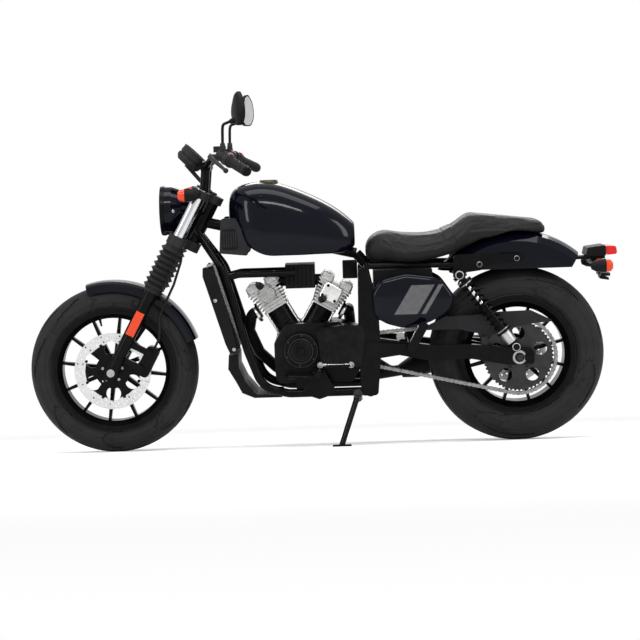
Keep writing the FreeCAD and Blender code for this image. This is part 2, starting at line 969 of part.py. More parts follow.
def rear_disc():
    inner = rear_disc_r * 0.68
    return brake_disc(rear_axle, rear_disc_y, rear_disc_r, inner, inner * 0.8, hub_r / 2 + running_gap)


def sprocket():
    """Toothed ring inside the chain's run, with five windows and a bore round the hub."""
    tip_r = rear_pitch_r - chain_plate_h / 2 - chain_tooth_gap
    root_r = tip_r - chain_pitch / 3
    half = sprocket_t / 2
    step = math.pi / rear_teeth
    points = []
    for i in range(rear_teeth):
        for turn, radius in ((-0.8, root_r), (-0.25, tip_r), (0.25, tip_r), (0.8, root_r)):
            angle = step * (2 * i + turn)
            points.append(rear_axle.add(V(radius * math.sin(angle), 0, radius * math.cos(angle))))
    plate = slab(points, chain_y - half, chain_y + half)
    bore = cross_rod(wheelbase, rear_axle_z, chain_y - half, chain_y + half, hub_r / 2 + running_gap)
    window = cross_rod(wheelbase, rear_axle_z + root_r * 0.68, chain_y - half, chain_y + half, root_r * 0.2)
    return plate.cut(bore).cut(Part.makeCompound(ring_of(window, 5, rear_axle)))


def belt_face(front_r, rear_r):
    """Side view area inside a loop that runs round both sprockets."""
    front = V(front_sprocket_x, 0, front_sprocket_z)
    rear = rear_axle
    line = rear.sub(front)
    heading = math.atan2(line.z, line.x)
    spread = math.acos((front_r - rear_r) / line.Length)

    def on_circle(centre, radius, angle):
        return centre.add(V(radius * math.cos(angle), 0, radius * math.sin(angle)))

    top_front = on_circle(front, front_r, heading + spread)
    top_rear = on_circle(rear, rear_r, heading + spread)
    low_front = on_circle(front, front_r, heading - spread)
    low_rear = on_circle(rear, rear_r, heading - spread)
    edges = [
        Part.LineSegment(top_front, top_rear).toShape(),
        Part.Arc(top_rear, on_circle(rear, rear_r, heading), low_rear).toShape(),
        Part.LineSegment(low_rear, low_front).toShape(),
        Part.Arc(low_front, on_circle(front, front_r, heading + math.pi), top_front).toShape(),
    ]
    return Part.Face(Part.Wire(edges))


def chain():
    """The chain's loop round both sprockets: its plates are waisted between their pins."""
    line = belt_face(front_pitch_r, rear_pitch_r).OuterWire
    links = 2 * round(line.Length / chain_pitch / 2)
    places = line.discretize(Number=links * 2 + 1)[:-1]
    outer = []
    inner = []
    for index, place in enumerate(places):
        ahead = places[(index + 1) % len(places)].sub(places[index - 1])
        out = ahead.cross(ALONG_Y).normalize()
        half = (chain_waist_h if index % 2 else chain_plate_h) / 2
        outer.append(place.add(out * half))
        inner.append(place.sub(out * half))
    low = chain_y - chain_w / 2
    high = chain_y + chain_w / 2
    return slab(outer, low, high).cut(slab(inner, low - overrun, high + overrun))


tank_stations = (
    (0.0, 0.50, 0.72, 0.30),
    (0.03, 0.36, 0.88, 0.50),
    (0.10, 0.22, 0.96, 0.74),
    (0.22, 0.06, 1.0, 0.94),
    (0.40, 0.0, 0.975, 1.0),
    (0.60, 0.0, 0.85, 0.95),
    (0.80, 0.0, 0.675, 0.78),
    (0.94, 0.03, 0.50, 0.58),
    (1.0, 0.10, 0.40, 0.44),
)
tank_section_shares = ((1.0, 0.30), (0.985, 0.52), (0.86, 0.76), (0.60, 0.92), (0.28, 0.985))


def tank_section(along, low, high, wide):
    """One closed section across the tank, flat below and domed above."""
    x = tank_x + tank_l * along
    bottom = tank_z + tank_h * low
    height = tank_h * (high - low)
    half = tank_w / 2 * wide
    left = [V(x, -half * a, bottom + height * b) for a, b in tank_section_shares]
    right = [V(x, -p.y, p.z) for p in reversed(left)]
    floor_half = half * tank_floor_share
    start = V(x, -floor_half, bottom)
    end = V(x, floor_half, bottom)
    dome = Part.BSplineCurve()
    dome.interpolate([start] + left + [V(x, 0, bottom + height)] + right + [end])
    return Part.Wire([dome.toShape(), Part.LineSegment(end, start).toShape()])


tank_floor_share = 0.86


def tunnel():
    """Space under the tank for the frame's backbone."""
    start, end = backbone_ends()
    radius = backbone_r + running_gap
    tube = rod(start.sub(end.sub(start) * 0.2), end.add(end.sub(start) * 0.2), radius)
    floor = tank_z - tank_h
    slot = slab([start, end, V(end.x, 0, floor), V(start.x, 0, floor)], -radius, radius)
    return tube.fuse(slot)


def fuel_tank():
    """Teardrop tank over the backbone, with the cap's neck."""
    body = Part.makeLoft([tank_section(*station) for station in tank_stations], True)
    return body.cut(tunnel()).cut(cap_space())


def cap_place():
    """Middle of the cap's seat on the top of the tank."""
    return V(tank_x + cap_from_tank_front, 0, tank_z + tank_h * 0.94)


def cap_space():
    seat = cap_place()
    return Part.makeCylinder(cap_r + running_gap, tank_h, seat)


def fuel_cap():
    """Round cap, turned with a grip rim, on the tank's neck."""
    profile = [
        (running_gap, 0),
        (running_gap, cap_r),
        (cap_h, cap_r),
        (cap_h + cap_h / 2, cap_r * 0.9),
        (cap_h + cap_h / 2, cap_r * 0.7),
        (cap_h * 1.3, cap_r * 0.66),
        (cap_h * 1.3, 0),
    ]
    return turned(profile, cap_place(), ALONG_Z)


def backbone_ends():
    """The backbone runs from inside the head tube to behind the tank."""
    head = fork_point((head_low + upper_clamp_low) / 2, -fork_offset, 0)
    return head, V(backbone_rear_x, 0, backbone_rear_z)


def cradle_points():
    """Left cradle tube, from the head tube down and round to the pivot plate."""
    head = fork_point(head_low + head_tube_r * 1.4, -fork_offset, -head_tube_r / 2)
    spread = cradle_half - head_tube_r / 2
    points = [head]
    length = pivot_x - head.x
    height = head.z - cradle_low_z
    for x, out, z in cradle_stations:
        points.append(V(head.x + length * x, head.y - spread * out, cradle_low_z + height * z))
    return points


cradle_stations = (
    (0.148, 0.55, 0.773),
    (0.286, 1.0, 0.267),
    (0.366, 1.0, 0.044),
    (0.518, 1.0, 0.0),
    (1.0, 1.0, 0.0),
)


def pivot_plate():
    """Left plate that carries the swingarm's pivot, between the cradle and the seat rail."""
    outer = arm_half + arm_t / 2 + pivot_plate_gap + pivot_plate_t
    rise = seat_base_z - cradle_low_z
    points = [V(pivot_x + pivot_boss_r * a, 0, cradle_low_z + rise * b) for a, b in pivot_plate_shares]
    plate = slab(points, -outer, -outer + pivot_plate_t, pivot_boss_r / 2)
    inner = -arm_half - arm_t / 2 - running_gap
    boss = cross_rod(pivot_x, pivot_z, -outer, inner, pivot_boss_r)
    return plate.fuse(boss)


pivot_plate_shares = ((-1.2, -0.03), (1.0, -0.03), (1.5, 0.3), (1.3, 0.66), (0.2, 0.97), (-1.1, 0.97), (-1.3, 0.4))


def rail_z():
    return seat_base_z - rail_r - running_gap


def rear_rail(radius):
    """Left seat rail, back from the backbone's cross tube to the fender's strut."""
    z = rail_z()
    outer = strut_inner() - rail_r - running_gap
    points = [
        V(pivot_x, -rail_half, z),
        V(pivot_x + (strut_x - pivot_x) * 0.6, -rail_half, z),
        V(strut_x + strut_l * 0.25, -outer, z - rail_r / 2),
    ]
    return bent_tube(points, radius, cradle_bend)


def strut_inner():
    return shock_y - shock_eye_r - strut_t - running_gap


def frame():
    """Double cradle frame: head tube, backbone, cradles, pivot plates, rails and cross tubes."""
    low = fork_point(head_low + steer_gap, -fork_offset, 0)
    high = fork_point(upper_clamp_low - steer_gap, -fork_offset, 0)
    head = rod(low, high, head_tube_r)
    bore = rod(low.sub(high.sub(low)), high.add(high.sub(low)), head_tube_bore_r)
    start, end = backbone_ends()
    spine = rod(start, end, backbone_r)
    drop = rod(end, V(pivot_x, 0, rail_z()), backbone_r)
    left = bent_tube(cradle_points(), cradle_r, cradle_bend)
    brace = bent_tube(brace_points(brace_start()), upper_brace_r, cradle_bend / 2)
    top = cross_rod(pivot_x, rail_z(), -plate_outer(), plate_outer(), rail_r)
    floor = cross_rod(pivot_x, cradle_low_z, -plate_outer(), plate_outer(), cradle_r + overrun)
    sides = [left, pivot_plate(), rear_rail(rail_r - running_gap), brace, engine_lug()]
    pivot = cross_rod(pivot_x, pivot_z, -plate_outer(), plate_outer(), pivot_bolt_r)
    middle = [spine, drop, top, floor, pivot, stand_lug()]
    body = head.multiFuse(middle + sides + [mirrored(piece) for piece in sides])
    return body.cut(bore)


def plate_outer():
    return arm_half + arm_t / 2 + pivot_plate_gap + pivot_plate_t


def brace_start():
    """Point inside the left cradle tube, a little below its upper bend."""
    upper, lower = cradle_points()[1:3]
    return upper.add(lower.sub(upper) * 0.12)


def brace_points(start):
    """Left upper tube, from the cradle back along the cylinder heads."""
    side = start.y * 1.1
    high = start.z + brace_rise
    return [start, V(start.x + brace_l * 0.2, side, high), V(start.x + brace_l, side, high)]


def engine_lug():
    """Plate from the cradle's lower tube to the crankcase's side."""
    x = case_x + case_l * 0.3
    reach = cradle_half - case_half - running_gap
    return block(x, -cradle_half, cradle_low_z, case_l * 0.12, reach, (case_z - cradle_low_z) * 2)


def stand_pivot():
    return V(stand_x, stand_y, stand_z)


def foot_place():
    """Point on the ground under the middle of the stand's foot, in the upright frame."""
    return V(foot_x, foot_y, -foot_y * lean_sin / lean_cos)


def leg_end():
    up = V(0, lean_sin, lean_cos)
    return foot_place().add(up * foot_t)


def stand_axis():
    """The stand's bolt: turning by the right-hand rule about it folds the leg rearwards."""
    return leg_end().sub(stand_pivot()).cross(ALONG_X).normalize()


def stand_fold():
    """Degrees from the leg's parked place until it lies level along the machine."""
    return math.degrees(leg_end().sub(stand_pivot()).getAngle(ALONG_X))


def stand_lug():
    """Lug under the left cradle tube that carries the side stand's bolt."""
    axis = stand_axis()
    start = stand_pivot().sub(axis * (stand_boss_t / 2 + running_gap))
    boss = rod(start, start.sub(axis * stand_boss_t), stand_boss_r)
    low = cradle_low_z - cradle_r * 1.8
    shelf_w = stand_boss_r * 2
    shelf = block(stand_x - stand_boss_r, stand_y + stand_boss_t, low, shelf_w, shelf_w, cradle_r)
    pin = rod(start, stand_pivot().add(axis * (stand_boss_t / 2 + disc_t)), pivot_bolt_r)
    return boss.multiFuse([shelf, pin])


def stand_leg():
    """Stand leg with its pivot boss and a foot plate that lies flat on the ground when parked."""
    axis = stand_axis()
    pivot = stand_pivot()
    boss = rod(pivot.sub(axis * (stand_boss_t / 2)), pivot.add(axis * (stand_boss_t / 2)), stand_boss_r)
    leg = rod(pivot, leg_end(), stand_r)
    foot = block(-foot_l / 2, -foot_w / 2, 0, foot_l, foot_w, foot_t)
    foot.rotate(ZERO, ALONG_X, -lean)
    foot.translate(foot_place())
    bore = rod(pivot.sub(axis * stand_boss_t), pivot.add(axis * stand_boss_t), pivot_bolt_r + running_gap)
    return boss.multiFuse([leg, foot]).cut(bore)


def swingarm():
    """Both arms, the cross tube ahead of the tyre, and the rear axle clamped in their ends."""
    inner = -arm_half + arm_t / 2
    length = wheelbase - pivot_x
    points = [V(pivot_x + length * a, 0, rear_axle_z + arm_h * b) for a, b in arm_shares]
    arm = slab(points, inner - arm_t, inner, arm_h / 4)
    cut = cross_rod(pivot_x, pivot_z, inner - arm_t, inner, pivot_bolt_r + running_gap)
    cross_x = pivot_x + arm_cross_back
    cross = cross_rod(cross_x, arm_middle_z(cross_x), inner - overrun, -inner + overrun, arm_cross_r)
    reach = arm_half + arm_t / 2
    axle = cross_rod(wheelbase, rear_axle_z, -reach - overrun, reach + overrun, axle_r)
    head = cross_rod(wheelbase, rear_axle_z, -reach - rear_axle_head_t, -reach + overrun, rear_axle_head_r)
    left = arm.cut(cut)
    return left.multiFuse([mirrored(left), cross, axle, head, mirrored(head)])


arm_shares = (
    (-0.055, 1.5),
    (0.03, 1.62),
    (0.42, 1.0),
    (0.66, 0.98),
    (0.86, 0.78),
    (1.02, 0.62),
    (1.1, 0.5),
    (1.1, -0.5),
    (0.93, -0.5),
    (0.66, 0.02),
    (0.42, -0.08),
    (0.03, 0.75),
    (-0.055, 0.9),
)


def arm_middle_z(x):
    """Height of the arm's middle line at a place along it."""
    share = (x - pivot_x) / (wheelbase - pivot_x)
    return pivot_z + (rear_axle_z + arm_h / 2 - pivot_z) * share / 0.6


def shock_ends():
    return V(shock_low_x, -shock_y, shock_low_z), V(shock_top_x, -shock_y, shock_top_z)


def shocks():
    """Twin shock absorbers: eyes on studs, damper body, rod, and two spring seats."""
    low, top = shock_ends()
    line = top.sub(low)
    length = line.Length
    inner = -arm_half - arm_t / 2 - running_gap
    eye_w = (shock_y + inner) * 2
    eyes = [
        cross_rod(p.x, p.z, -shock_y - eye_w / 2, -shock_y + eye_w / 2, shock_eye_r) for p in (low, top)
    ]
    neck_r = shock_body_r * 0.7
    profile = [
        (0, 0),
        (0, neck_r),
        (length * (spring_low_share - shock_seat_share), neck_r),
        (length * (spring_low_share - shock_seat_share), spring_r),
        (length * spring_low_share, spring_r),
        (length * spring_low_share, shock_body_r),
        (length * 0.6, shock_body_r),
        (length * 0.6, shock_rod_r),
        (length * spring_top_share, shock_rod_r),
        (length * spring_top_share, spring_r),
        (length * (spring_top_share + shock_seat_share), spring_r),
        (length * (spring_top_share + shock_seat_share), neck_r),
        (length, neck_r),
        (length, 0),
    ]
    body = turned(profile, low, line)
    return pair(body.multiFuse(eyes))


shock_seat_share = 0.035


def shock_springs():
    """Coil springs between the seats of each shock absorber."""
    low, top = shock_ends()
    line = top.sub(low)
    length = line.Length * (spring_top_share - spring_low_share) - running_gap * 2
    pitch = (length - spring_wire) / spring_turns
    middle_r = spring_r - spring_wire / 2
    helix = Part.makeHelix(pitch, pitch * spring_turns, middle_r)
    half = spring_wire / 2
    inward, outward = V(middle_r - half, 0, 0), V(middle_r + half, 0, 0)
    corners = [outward, V(middle_r, 0, half), inward, V(middle_r, 0, -half)]
    section = Part.makePolygon(corners + corners[:1])
    coil = Part.Wire(helix.Edges).makePipeShell([section], True, True)
    coil.translate(V(0, 0, half + running_gap))
    turn = FreeCAD.Rotation(ALONG_Z, line)
    coil.Placement = FreeCAD.Placement(low.add(line * spring_low_share), turn).multiply(coil.Placement)
    return pair(coil)


def banked(shape, side):
    """Leans a piece from the upright cylinder's frame into one bank: -1 is the front, 1 the rear."""
    shape.rotate(ZERO, ALONG_Y, bank_angle * side)
    shape.translate(crank)
    return shape


def bank_point(side, up, out, y=0):
    """Point given up along a bank's axis, outwards from the V, and across."""
    angle = math.radians(bank_angle)
    along = V(side * math.sin(angle), 0, math.cos(angle))
    away = V(side * math.cos(angle), 0, -math.sin(angle))
    return crank.add(along * up).add(away * out).add(V(0, y, 0))


def barrel_profile():
    """Finned barrel from its deck up to the head's gasket."""
    step = (barrel_high - barrel_low) / barrel_fins
    core_r = barrel_w / 2 - fin_deep / 2
    profile = [(barrel_low, 0), (barrel_low, core_r)]
    for i in range(barrel_fins):
        low = barrel_low + step * (i + 0.5)
        profile += [(low - fin_t / 2, core_r), (low - fin_t / 2, barrel_w / 2)]
        profile += [(low + fin_t / 2, barrel_w / 2), (low + fin_t / 2, core_r)]
    return profile + [(barrel_high, core_r), (barrel_high, 0)]


barrel_fins = 5


def cylinder_barrels():
    return Part.makeCompound([banked(turned(barrel_profile(), ZERO, ALONG_Z), side) for side in (-1, 1)])


def one_head():
    """Cylinder head, upright: a core with fins that widen upwards, two cam lumps and a side plate."""
    core_half = head_low_w / 2 - fin_deep / 2
    core_w = head_w - fin_deep * 2
    core = block(-core_half, -head_w / 2 + fin_deep, barrel_high, core_half * 2, core_w, head_high - barrel_high)
    step = (head_high - barrel_high - fin_t) / fin_count
    fins = []
    for i in range(fin_count):
        low = barrel_high + step * i + fin_t
        half = (head_low_w + (head_w - head_low_w) * i / (fin_count - 1)) / 2
        reach = head_w / 2
        outline = [V(-half, -reach, low), V(half, -reach, low), V(half, reach, low), V(-half, reach, low)]
        edges = bent_edges(outline, fin_deep, True)
        fins.append(Part.Face(Part.Wire(edges)).extrude(V(0, 0, fin_t)))
    lump_half = head_w / 2 - fin_deep
    lumps = [
        cross_rod(x * head_low_w * 0.4, head_high, -lump_half, lump_half, rocker_r * 0.9) for x in (-1, 1)
    ]
    cover_z = (barrel_high + head_high) / 2 + rocker_h / 2
    cover = cross_rod(0, cover_z, -head_w / 2 - rim_wall, -lump_half, rocker_r)
    return core.multiFuse(fins + lumps + [cover])


def cylinder_heads():
    return Part.makeCompound([banked(one_head(), side) for side in (-1, 1)])


def crankcase_points():
    return side_points(case_x, case_z, case_l, case_h, crankcase_shares)


crankcase_shares = (
    (0.10, 0.03),
    (0.88, 0.0),
    (0.98, 0.29),
    (0.97, 0.82),
    (0.74, 0.95),
    (0.20, 0.95),
    (0.085, 0.66),
    (0.085, 0.24),
)


def final_drive_x():
    """Where the case steps in on the left, ahead of the front sprocket."""
    return front_sprocket_x - front_pitch_r - chain_plate_h * 2


def crankcase():
    """Engine block: wide at the crank, narrow on the left where the final drive comes out."""
    points = crankcase_points()
    body = slab(points, -case_half, case_half, case_h * 0.08)
    side = block(final_drive_x(), -case_half * 2, 0, case_l, case_half * 2 - case_narrow_half, crank_z * 2)
    body = body.cut(side)
    decks = [
        banked(Part.makeCylinder(barrel_w / 2 + rim_wall, barrel_low - running_gap), bank) for bank in (-1, 1)
    ]
    space_r = barrel_w / 2 + rim_wall
    spaces = [
        banked(Part.makeCylinder(space_r, head_high, V(0, 0, barrel_low)), bank) for bank in (-1, 1)
    ]
    half = sprocket_t / 2
    x, z = front_sprocket_x, front_sprocket_z
    wheel_r = front_pitch_r - chain_plate_h / 2 - chain_tooth_gap
    drive = cross_rod(x, z, chain_y - half, chain_y + half, wheel_r)
    shaft = cross_rod(x, z, chain_y - half * 2, -case_narrow_half + overrun, wheel_r / 2)
    return body.multiFuse(decks).cut(Part.makeCompound(spaces)).multiFuse([drive, shaft])


def alternator_cover():
    """Round cover on the left end of the crank, with a raised ring."""
    t = alternator_t
    profile = [
        (running_gap, 0),
        (running_gap, alternator_r),
        (t * 0.55, alternator_r),
        (t * 0.7, alternator_r * 0.93),
        (t * 0.7, alternator_ring_r),
        (t, alternator_ring_r * 0.96),
        (t, alternator_ring_r * 0.8),
        (t * 0.86, alternator_ring_r * 0.7),
        (t * 0.86, 0),
    ]
    return turned(profile, V(crank_x, -case_half, crank_z), V(0, -1, 0))


def clutch_cover():
    """Round cover on the right of the crankcase."""
    t = clutch_t
    profile = [
        (running_gap, 0),
        (running_gap, clutch_r),
        (t * 0.6, clutch_r),
        (t * 0.85, clutch_r * 0.9),
        (t, clutch_r * 0.72),
        (t, 0),
    ]
    return turned(profile, V(clutch_x, case_half, crank_z), ALONG_Y)


sprocket_cover_shares = ((0.0, 0.92), (0.54, 1.0), (0.92, 0.99), (1.0, 0.73), (0.88, 0.0), (0.09, 0.03))


def sprocket_cover():
    """Cover over the front of the chain, open to the rear."""
    low_x = crank_x + alternator_r * 0.9
    low_z = crank_z - alternator_r
    points = side_points(low_x, low_z, case_l * 0.5, alternator_r * 2.4, sprocket_cover_shares)
    wall = sprocket_cover_t
    body = slab(points, sprocket_cover_y, -case_narrow_half - running_gap, alternator_r * 0.25)
    half = chain_plate_h / 2 + rim_wall
    hollow = belt_face(front_pitch_r + half, rear_pitch_r + half).extrude(
        V(0, -sprocket_cover_y - wall - case_narrow_half + overrun, 0)
    )
    hollow.translate(V(0, sprocket_cover_y + wall, 0))
    near = cross_rod(crank_x, crank_z, sprocket_cover_y * 2, 0, alternator_r + running_gap)
    case_y = case_half + running_gap
    front = block(final_drive_x() + running_gap - case_l, -case_y, 0, case_l, case_y, crank_z * 2)
    plate_y = plate_outer() + running_gap
    rear = block(pivot_x - pivot_boss_r * 1.4, -plate_y, 0, case_l, plate_y, crank_z * 2)
    return body.cut(Part.makeCompound([hollow, near])).cut(front).cut(rear)


def engine_covers():
    return Part.makeCompound([alternator_cover(), clutch_cover(), sprocket_cover()])


def intake_box():
    """Ribbed box between the banks, with a stub to each head."""
    z = intake_z
    body = block(intake_x, -intake_half, z, intake_l, intake_half * 2, intake_h)
    step = intake_l / intake_ribs
    reach = intake_half + rim_wall
    ribs = [
        block(intake_x + step * (i + 0.3), -reach, z + rim_wall, step * 0.4, reach * 2, intake_h - rim_wall * 2)
        for i in range(intake_ribs)
    ]
    middle = intake_x + intake_l / 2
    stub_z = z + intake_h * 0.3
    stubs = rod(V(middle - intake_l, 0, stub_z), V(middle + intake_l, 0, stub_z), pipe_r)
    return body.multiFuse(ribs + [stubs]).cut(cylinder_heads())


intake_ribs = 7

seat_stations = (
    (0.008, 0.13, 0.34, 0.34),
    (0.045, 0.01, 0.58, 0.52),
    (0.094, 0.0, 0.655, 0.64),
    (0.188, 0.0, 0.60, 0.88),
    (0.298, 0.0, 0.565, 1.0),
    (0.392, 0.07, 0.60, 1.0),
    (0.478, 0.16, 0.72, 0.93),
    (0.533, 0.24, 0.86, 0.82),
    (0.58, 0.30, 0.975, 0.76),
    (0.643, 0.36, 0.925, 0.73),
    (0.721, 0.40, 0.875, 0.705),
    (0.821, 0.45, 0.855, 0.66),
    (0.925, 0.475, 0.825, 0.58),
    (0.98, 0.50, 0.76, 0.44),
    (1.0, 0.55, 0.68, 0.30),
)
seat_section_shares = ((1.0, 0.34), (0.97, 0.66), (0.78, 0.88), (0.42, 0.975))


def seat_section(along, low, high, wide):
    """One closed section across the seat."""
    x = seat_x + seat_l * along
    bottom = seat_base_z + seat_h * low
    height = seat_h * (high - low)
    half = rider_seat_w / 2 * wide
    left = [V(x, -half * a, bottom + height * b) for a, b in seat_section_shares]
    right = [V(x, -p.y, p.z) for p in reversed(left)]
    start = V(x, -half * tank_floor_share, bottom)
    end = V(x, half * tank_floor_share, bottom)
    dome = Part.BSplineCurve()
    dome.interpolate([start] + left + [V(x, 0, bottom + height)] + right + [end])
    return Part.Wire([dome.toShape(), Part.LineSegment(end, start).toShape()])


def seat():
    """Stepped two-up seat, hollowed below where it sits over the fender and the frame."""
    body = Part.makeLoft([seat_section(*station) for station in seat_stations], True)
    centre = fender_centre()
    reach = rear_fender_half + running_gap
    over = cross_rod(centre.x, centre.z, -reach, reach, rear_fender_r + running_gap)
    head, tail = backbone_ends()
    knee = V(pivot_x, 0, rail_z())
    drop = rod(tail.sub(knee).add(tail), knee.sub(tail).add(knee), backbone_r + running_gap)
    below = block(seat_x - seat_l, -seat_l, 0, seat_l * 3, seat_l * 2, seat_base_z)
    return body.cut(over).cut(drop).cut(below)


def fender_centre():
    return rear_axle.add(V(0, 0, rear_fender_rise))


def rear_fender():
    """Fender shell behind and under the seat, with straight lower edges and a raked tail."""
    skirt_r = rear_fender_low_z - fender_centre().z - rear_fender_t
    profile = arch_profile(rear_fender_half, rear_fender_r, skirt_r, rear_fender_t)
    shell = turned(profile, ZERO, ALONG_Y, 120)
    shell.rotate(ZERO, ALONG_Y, -60)
    shell.translate(fender_centre())
    below = block(0, -rear_tyre_w, 0, rear_fender_end_x * 2, rear_tyre_w * 2, rear_fender_low_z)
    end = [
        V(rear_fender_end_x, 0, rear_fender_low_z + strut_h),
        V(rear_fender_end_x - strut_h * 0.75, 0, rear_fender_low_z - strut_h * 0.2),
        V(rear_fender_end_x + seat_l, 0, rear_fender_low_z - strut_h * 0.2),
        V(rear_fender_end_x + seat_l, 0, rear_fender_low_z + strut_h),
    ]
    tail = slab(end, -rear_tyre_w, rear_tyre_w)
    return shell.cut(below).cut(tail)


strut_shares = (
    (-0.02, 0.9),
    (0.06, 1.0),
    (0.42, 1.0),
    (0.94, 0.93),
    (1.0, 0.67),
    (0.91, 0.45),
    (0.51, 0.31),
    (0.35, 0.0),
    (0.15, -0.1),
    (0.12, -0.42),
    (-0.03, -0.42),
)


def fender_struts():
    """Strut plates that carry the fender, with spacers to it and studs for the shock absorbers."""
    points = side_points(strut_x, strut_z, strut_l, strut_h, strut_shares)
    outer = -strut_inner() - strut_t
    plate = slab(points, outer, -strut_inner(), strut_h * 0.12)
    spacers = [
        cross_rod(strut_x + strut_l * a, strut_z + strut_h * b, outer, -rear_fender_half - running_gap, rail_r)
        for a, b in ((0.34, 0.36), (0.86, 0.66))
    ]
    stud = cross_rod(shock_top_x, shock_top_z, -arm_half - arm_t / 2, -strut_inner(), pivot_bolt_r)
    return pair(plate.multiFuse(spacers + [stud]))


def lamp_low():
    return tail_lamp_z + running_gap


def tail_bracket():
    """Bracket under the fender's tail for the lamp, the indicators and the number plate's arm."""
    half = tail_lamp_w * 0.27
    thick = rail_r
    top = tail_lamp_z - running_gap
    shelf_l = tail_lamp_x + tail_lamp_l - tail_bracket_x
    shelf = block(tail_bracket_x, -half, top - thick, shelf_l, half * 2, thick)
    foot = block(tail_bracket_x, -half, top - thick, tail_lamp_h * 0.7, half * 2, tail_lamp_h)
    centre = fender_centre()
    inside = cross_rod(centre.x, centre.z, -half * 2, half * 2, rear_fender_r - rear_fender_t * 2)
    bar_x_place = rear_indicator_x + rear_indicator_l * 0.3
    reach = rear_indicator_y - indicator_r * 0.89 - running_gap
    bar = cross_rod(bar_x_place, rear_indicator_z + rail_r / 2, -reach, reach, rail_r * 0.8)
    arm_x = tail_lamp_x + tail_lamp_l * 0.35
    arm_h_place = plate_holder_h * 0.8
    points = side_points(arm_x, top - arm_h_place, plate_holder_h * 0.55, arm_h_place, plate_arm_shares)
    arm = slab(points, -half * 0.7, half * 0.7)
    rest_x = points[2].x - rail_r
    rest = block(rest_x, -plate_holder_w / 2, points[2].z, plate_holder_h * 0.3, plate_holder_w, rail_r)
    return shelf.multiFuse([foot.common(inside), bar, arm, rest])


plate_arm_shares = ((0.0, 1.0), (0.22, 1.0), (0.62, 0.2), (1.0, 0.1), (1.0, 0.0), (0.5, 0.06))


def tail_lamp_housing():
    half = tail_lamp_w / 2
    points = side_points(tail_lamp_x, lamp_low() - running_gap, tail_lamp_l, tail_lamp_h, lamp_shares)
    return slab(points, -half, half, tail_lamp_h * 0.15)


lamp_shares = ((0.0, 0.0), (0.1, 0.8), (1.0, 1.0), (1.0, 0.0))


def tail_lamp_lens():
    """Red lens on the housing's rear face."""
    x = tail_lamp_x + tail_lamp_l + running_gap
    half = tail_lamp_w * 0.46
    points = side_points(x, tail_lamp_z + tail_lamp_h * 0.06, tail_lens_l, tail_lamp_h * 0.88, lens_shares)
    return slab(points, -half, half, tail_lamp_h * 0.2)


lens_shares = ((0.0, 0.0), (0.0, 1.0), (0.9, 0.92), (1.0, 0.1))


def rear_indicator_parts():
    tip = V(rear_indicator_x + rear_indicator_l, -rear_indicator_y, rear_indicator_z)
    lens = turned(bullet_lens(rear_indicator_lens_l), tip, V(-1, 0, 0))
    body = turned(bullet_body(rear_indicator_lens_l, rear_indicator_l), tip, V(-1, 0, 0))
    return body, lens


def rear_indicators():
    return pair(rear_indicator_parts()[0])


def rear_indicator_lenses():
    return pair(rear_indicator_parts()[1])


def radiator_turned(shape):
    """Leans a piece back with the radiator about its lower front edge."""
    shape.rotate(ZERO, ALONG_Y, -radiator_lean)
    shape.translate(V(radiator_low_x, 0, radiator_low_z))
    return shape


def radiator():
    """Radiator core between two tanks."""
    half = radiator_w / 2
    core = block(rail_r / 2, -half, 0, radiator_t - rail_r, radiator_w, radiator_l)
    tank_w_side = radiator_w * 0.1
    tanks = [block(0, y, 0, radiator_t, tank_w_side, radiator_l) for y in (-half, half - tank_w_side)]
    return radiator_turned(core.multiFuse(tanks))


def radiator_shroud():
    """Side strips over the radiator's tanks."""
    y = -radiator_w / 2 - running_gap
    points = side_points(-shroud_t / 2, -shroud_t / 2, shroud_w, radiator_l + shroud_t, shroud_shares)
    return radiator_turned(pair(slab(points, y - shroud_t, y, shroud_t / 2)))


shroud_shares = ((0.1, 0.0), (0.0, 0.12), (0.0, 0.9), (0.25, 1.0), (1.0, 0.93), (0.92, 0.3), (0.7, 0.0))

spoiler_shares = (
    (0.02, 1.0),
    (0.0, 0.68),
    (0.15, 0.36),
    (0.25, 0.12),
    (0.48, 0.0),
    (1.0, 0.0),
    (1.0, 0.06),
    (0.52, 0.08),
    (0.32, 0.38),
    (0.2, 0.7),
    (0.2, 1.0),
)


def lower_fairing():
    """Chin fairing between the cradle's tubes, below the radiator and the engine."""
    points = side_points(
        radiator_low_x - rail_r, cradle_low_z - cradle_r, case_l * 0.54, radiator_low_z - cradle_low_z, spoiler_shares
    )
    half = cradle_half - cradle_r - running_gap
    return slab(points, -half, half)


front_pipe_stations = (
    (-0.055, 0.0, 0.065),
    (-0.078, 0.217, 0.295),
    (-0.016, 0.435, 0.628),
    (0.092, 0.707, 0.875),
    (0.219, 0.92, 1.07),
    (0.727, 0.957, 1.07),
    (1.0, 1.0, 1.0),
)
rear_pipe_stations = (
    (0.1, 0.0, 0.05),
    (0.115, 0.72, 0.06),
    (0.14, 0.93, 0.35),
    (0.40, 0.95, 0.80),
    (0.763, 0.967, 1.02),
    (1.0, 1.0, 1.0),
)


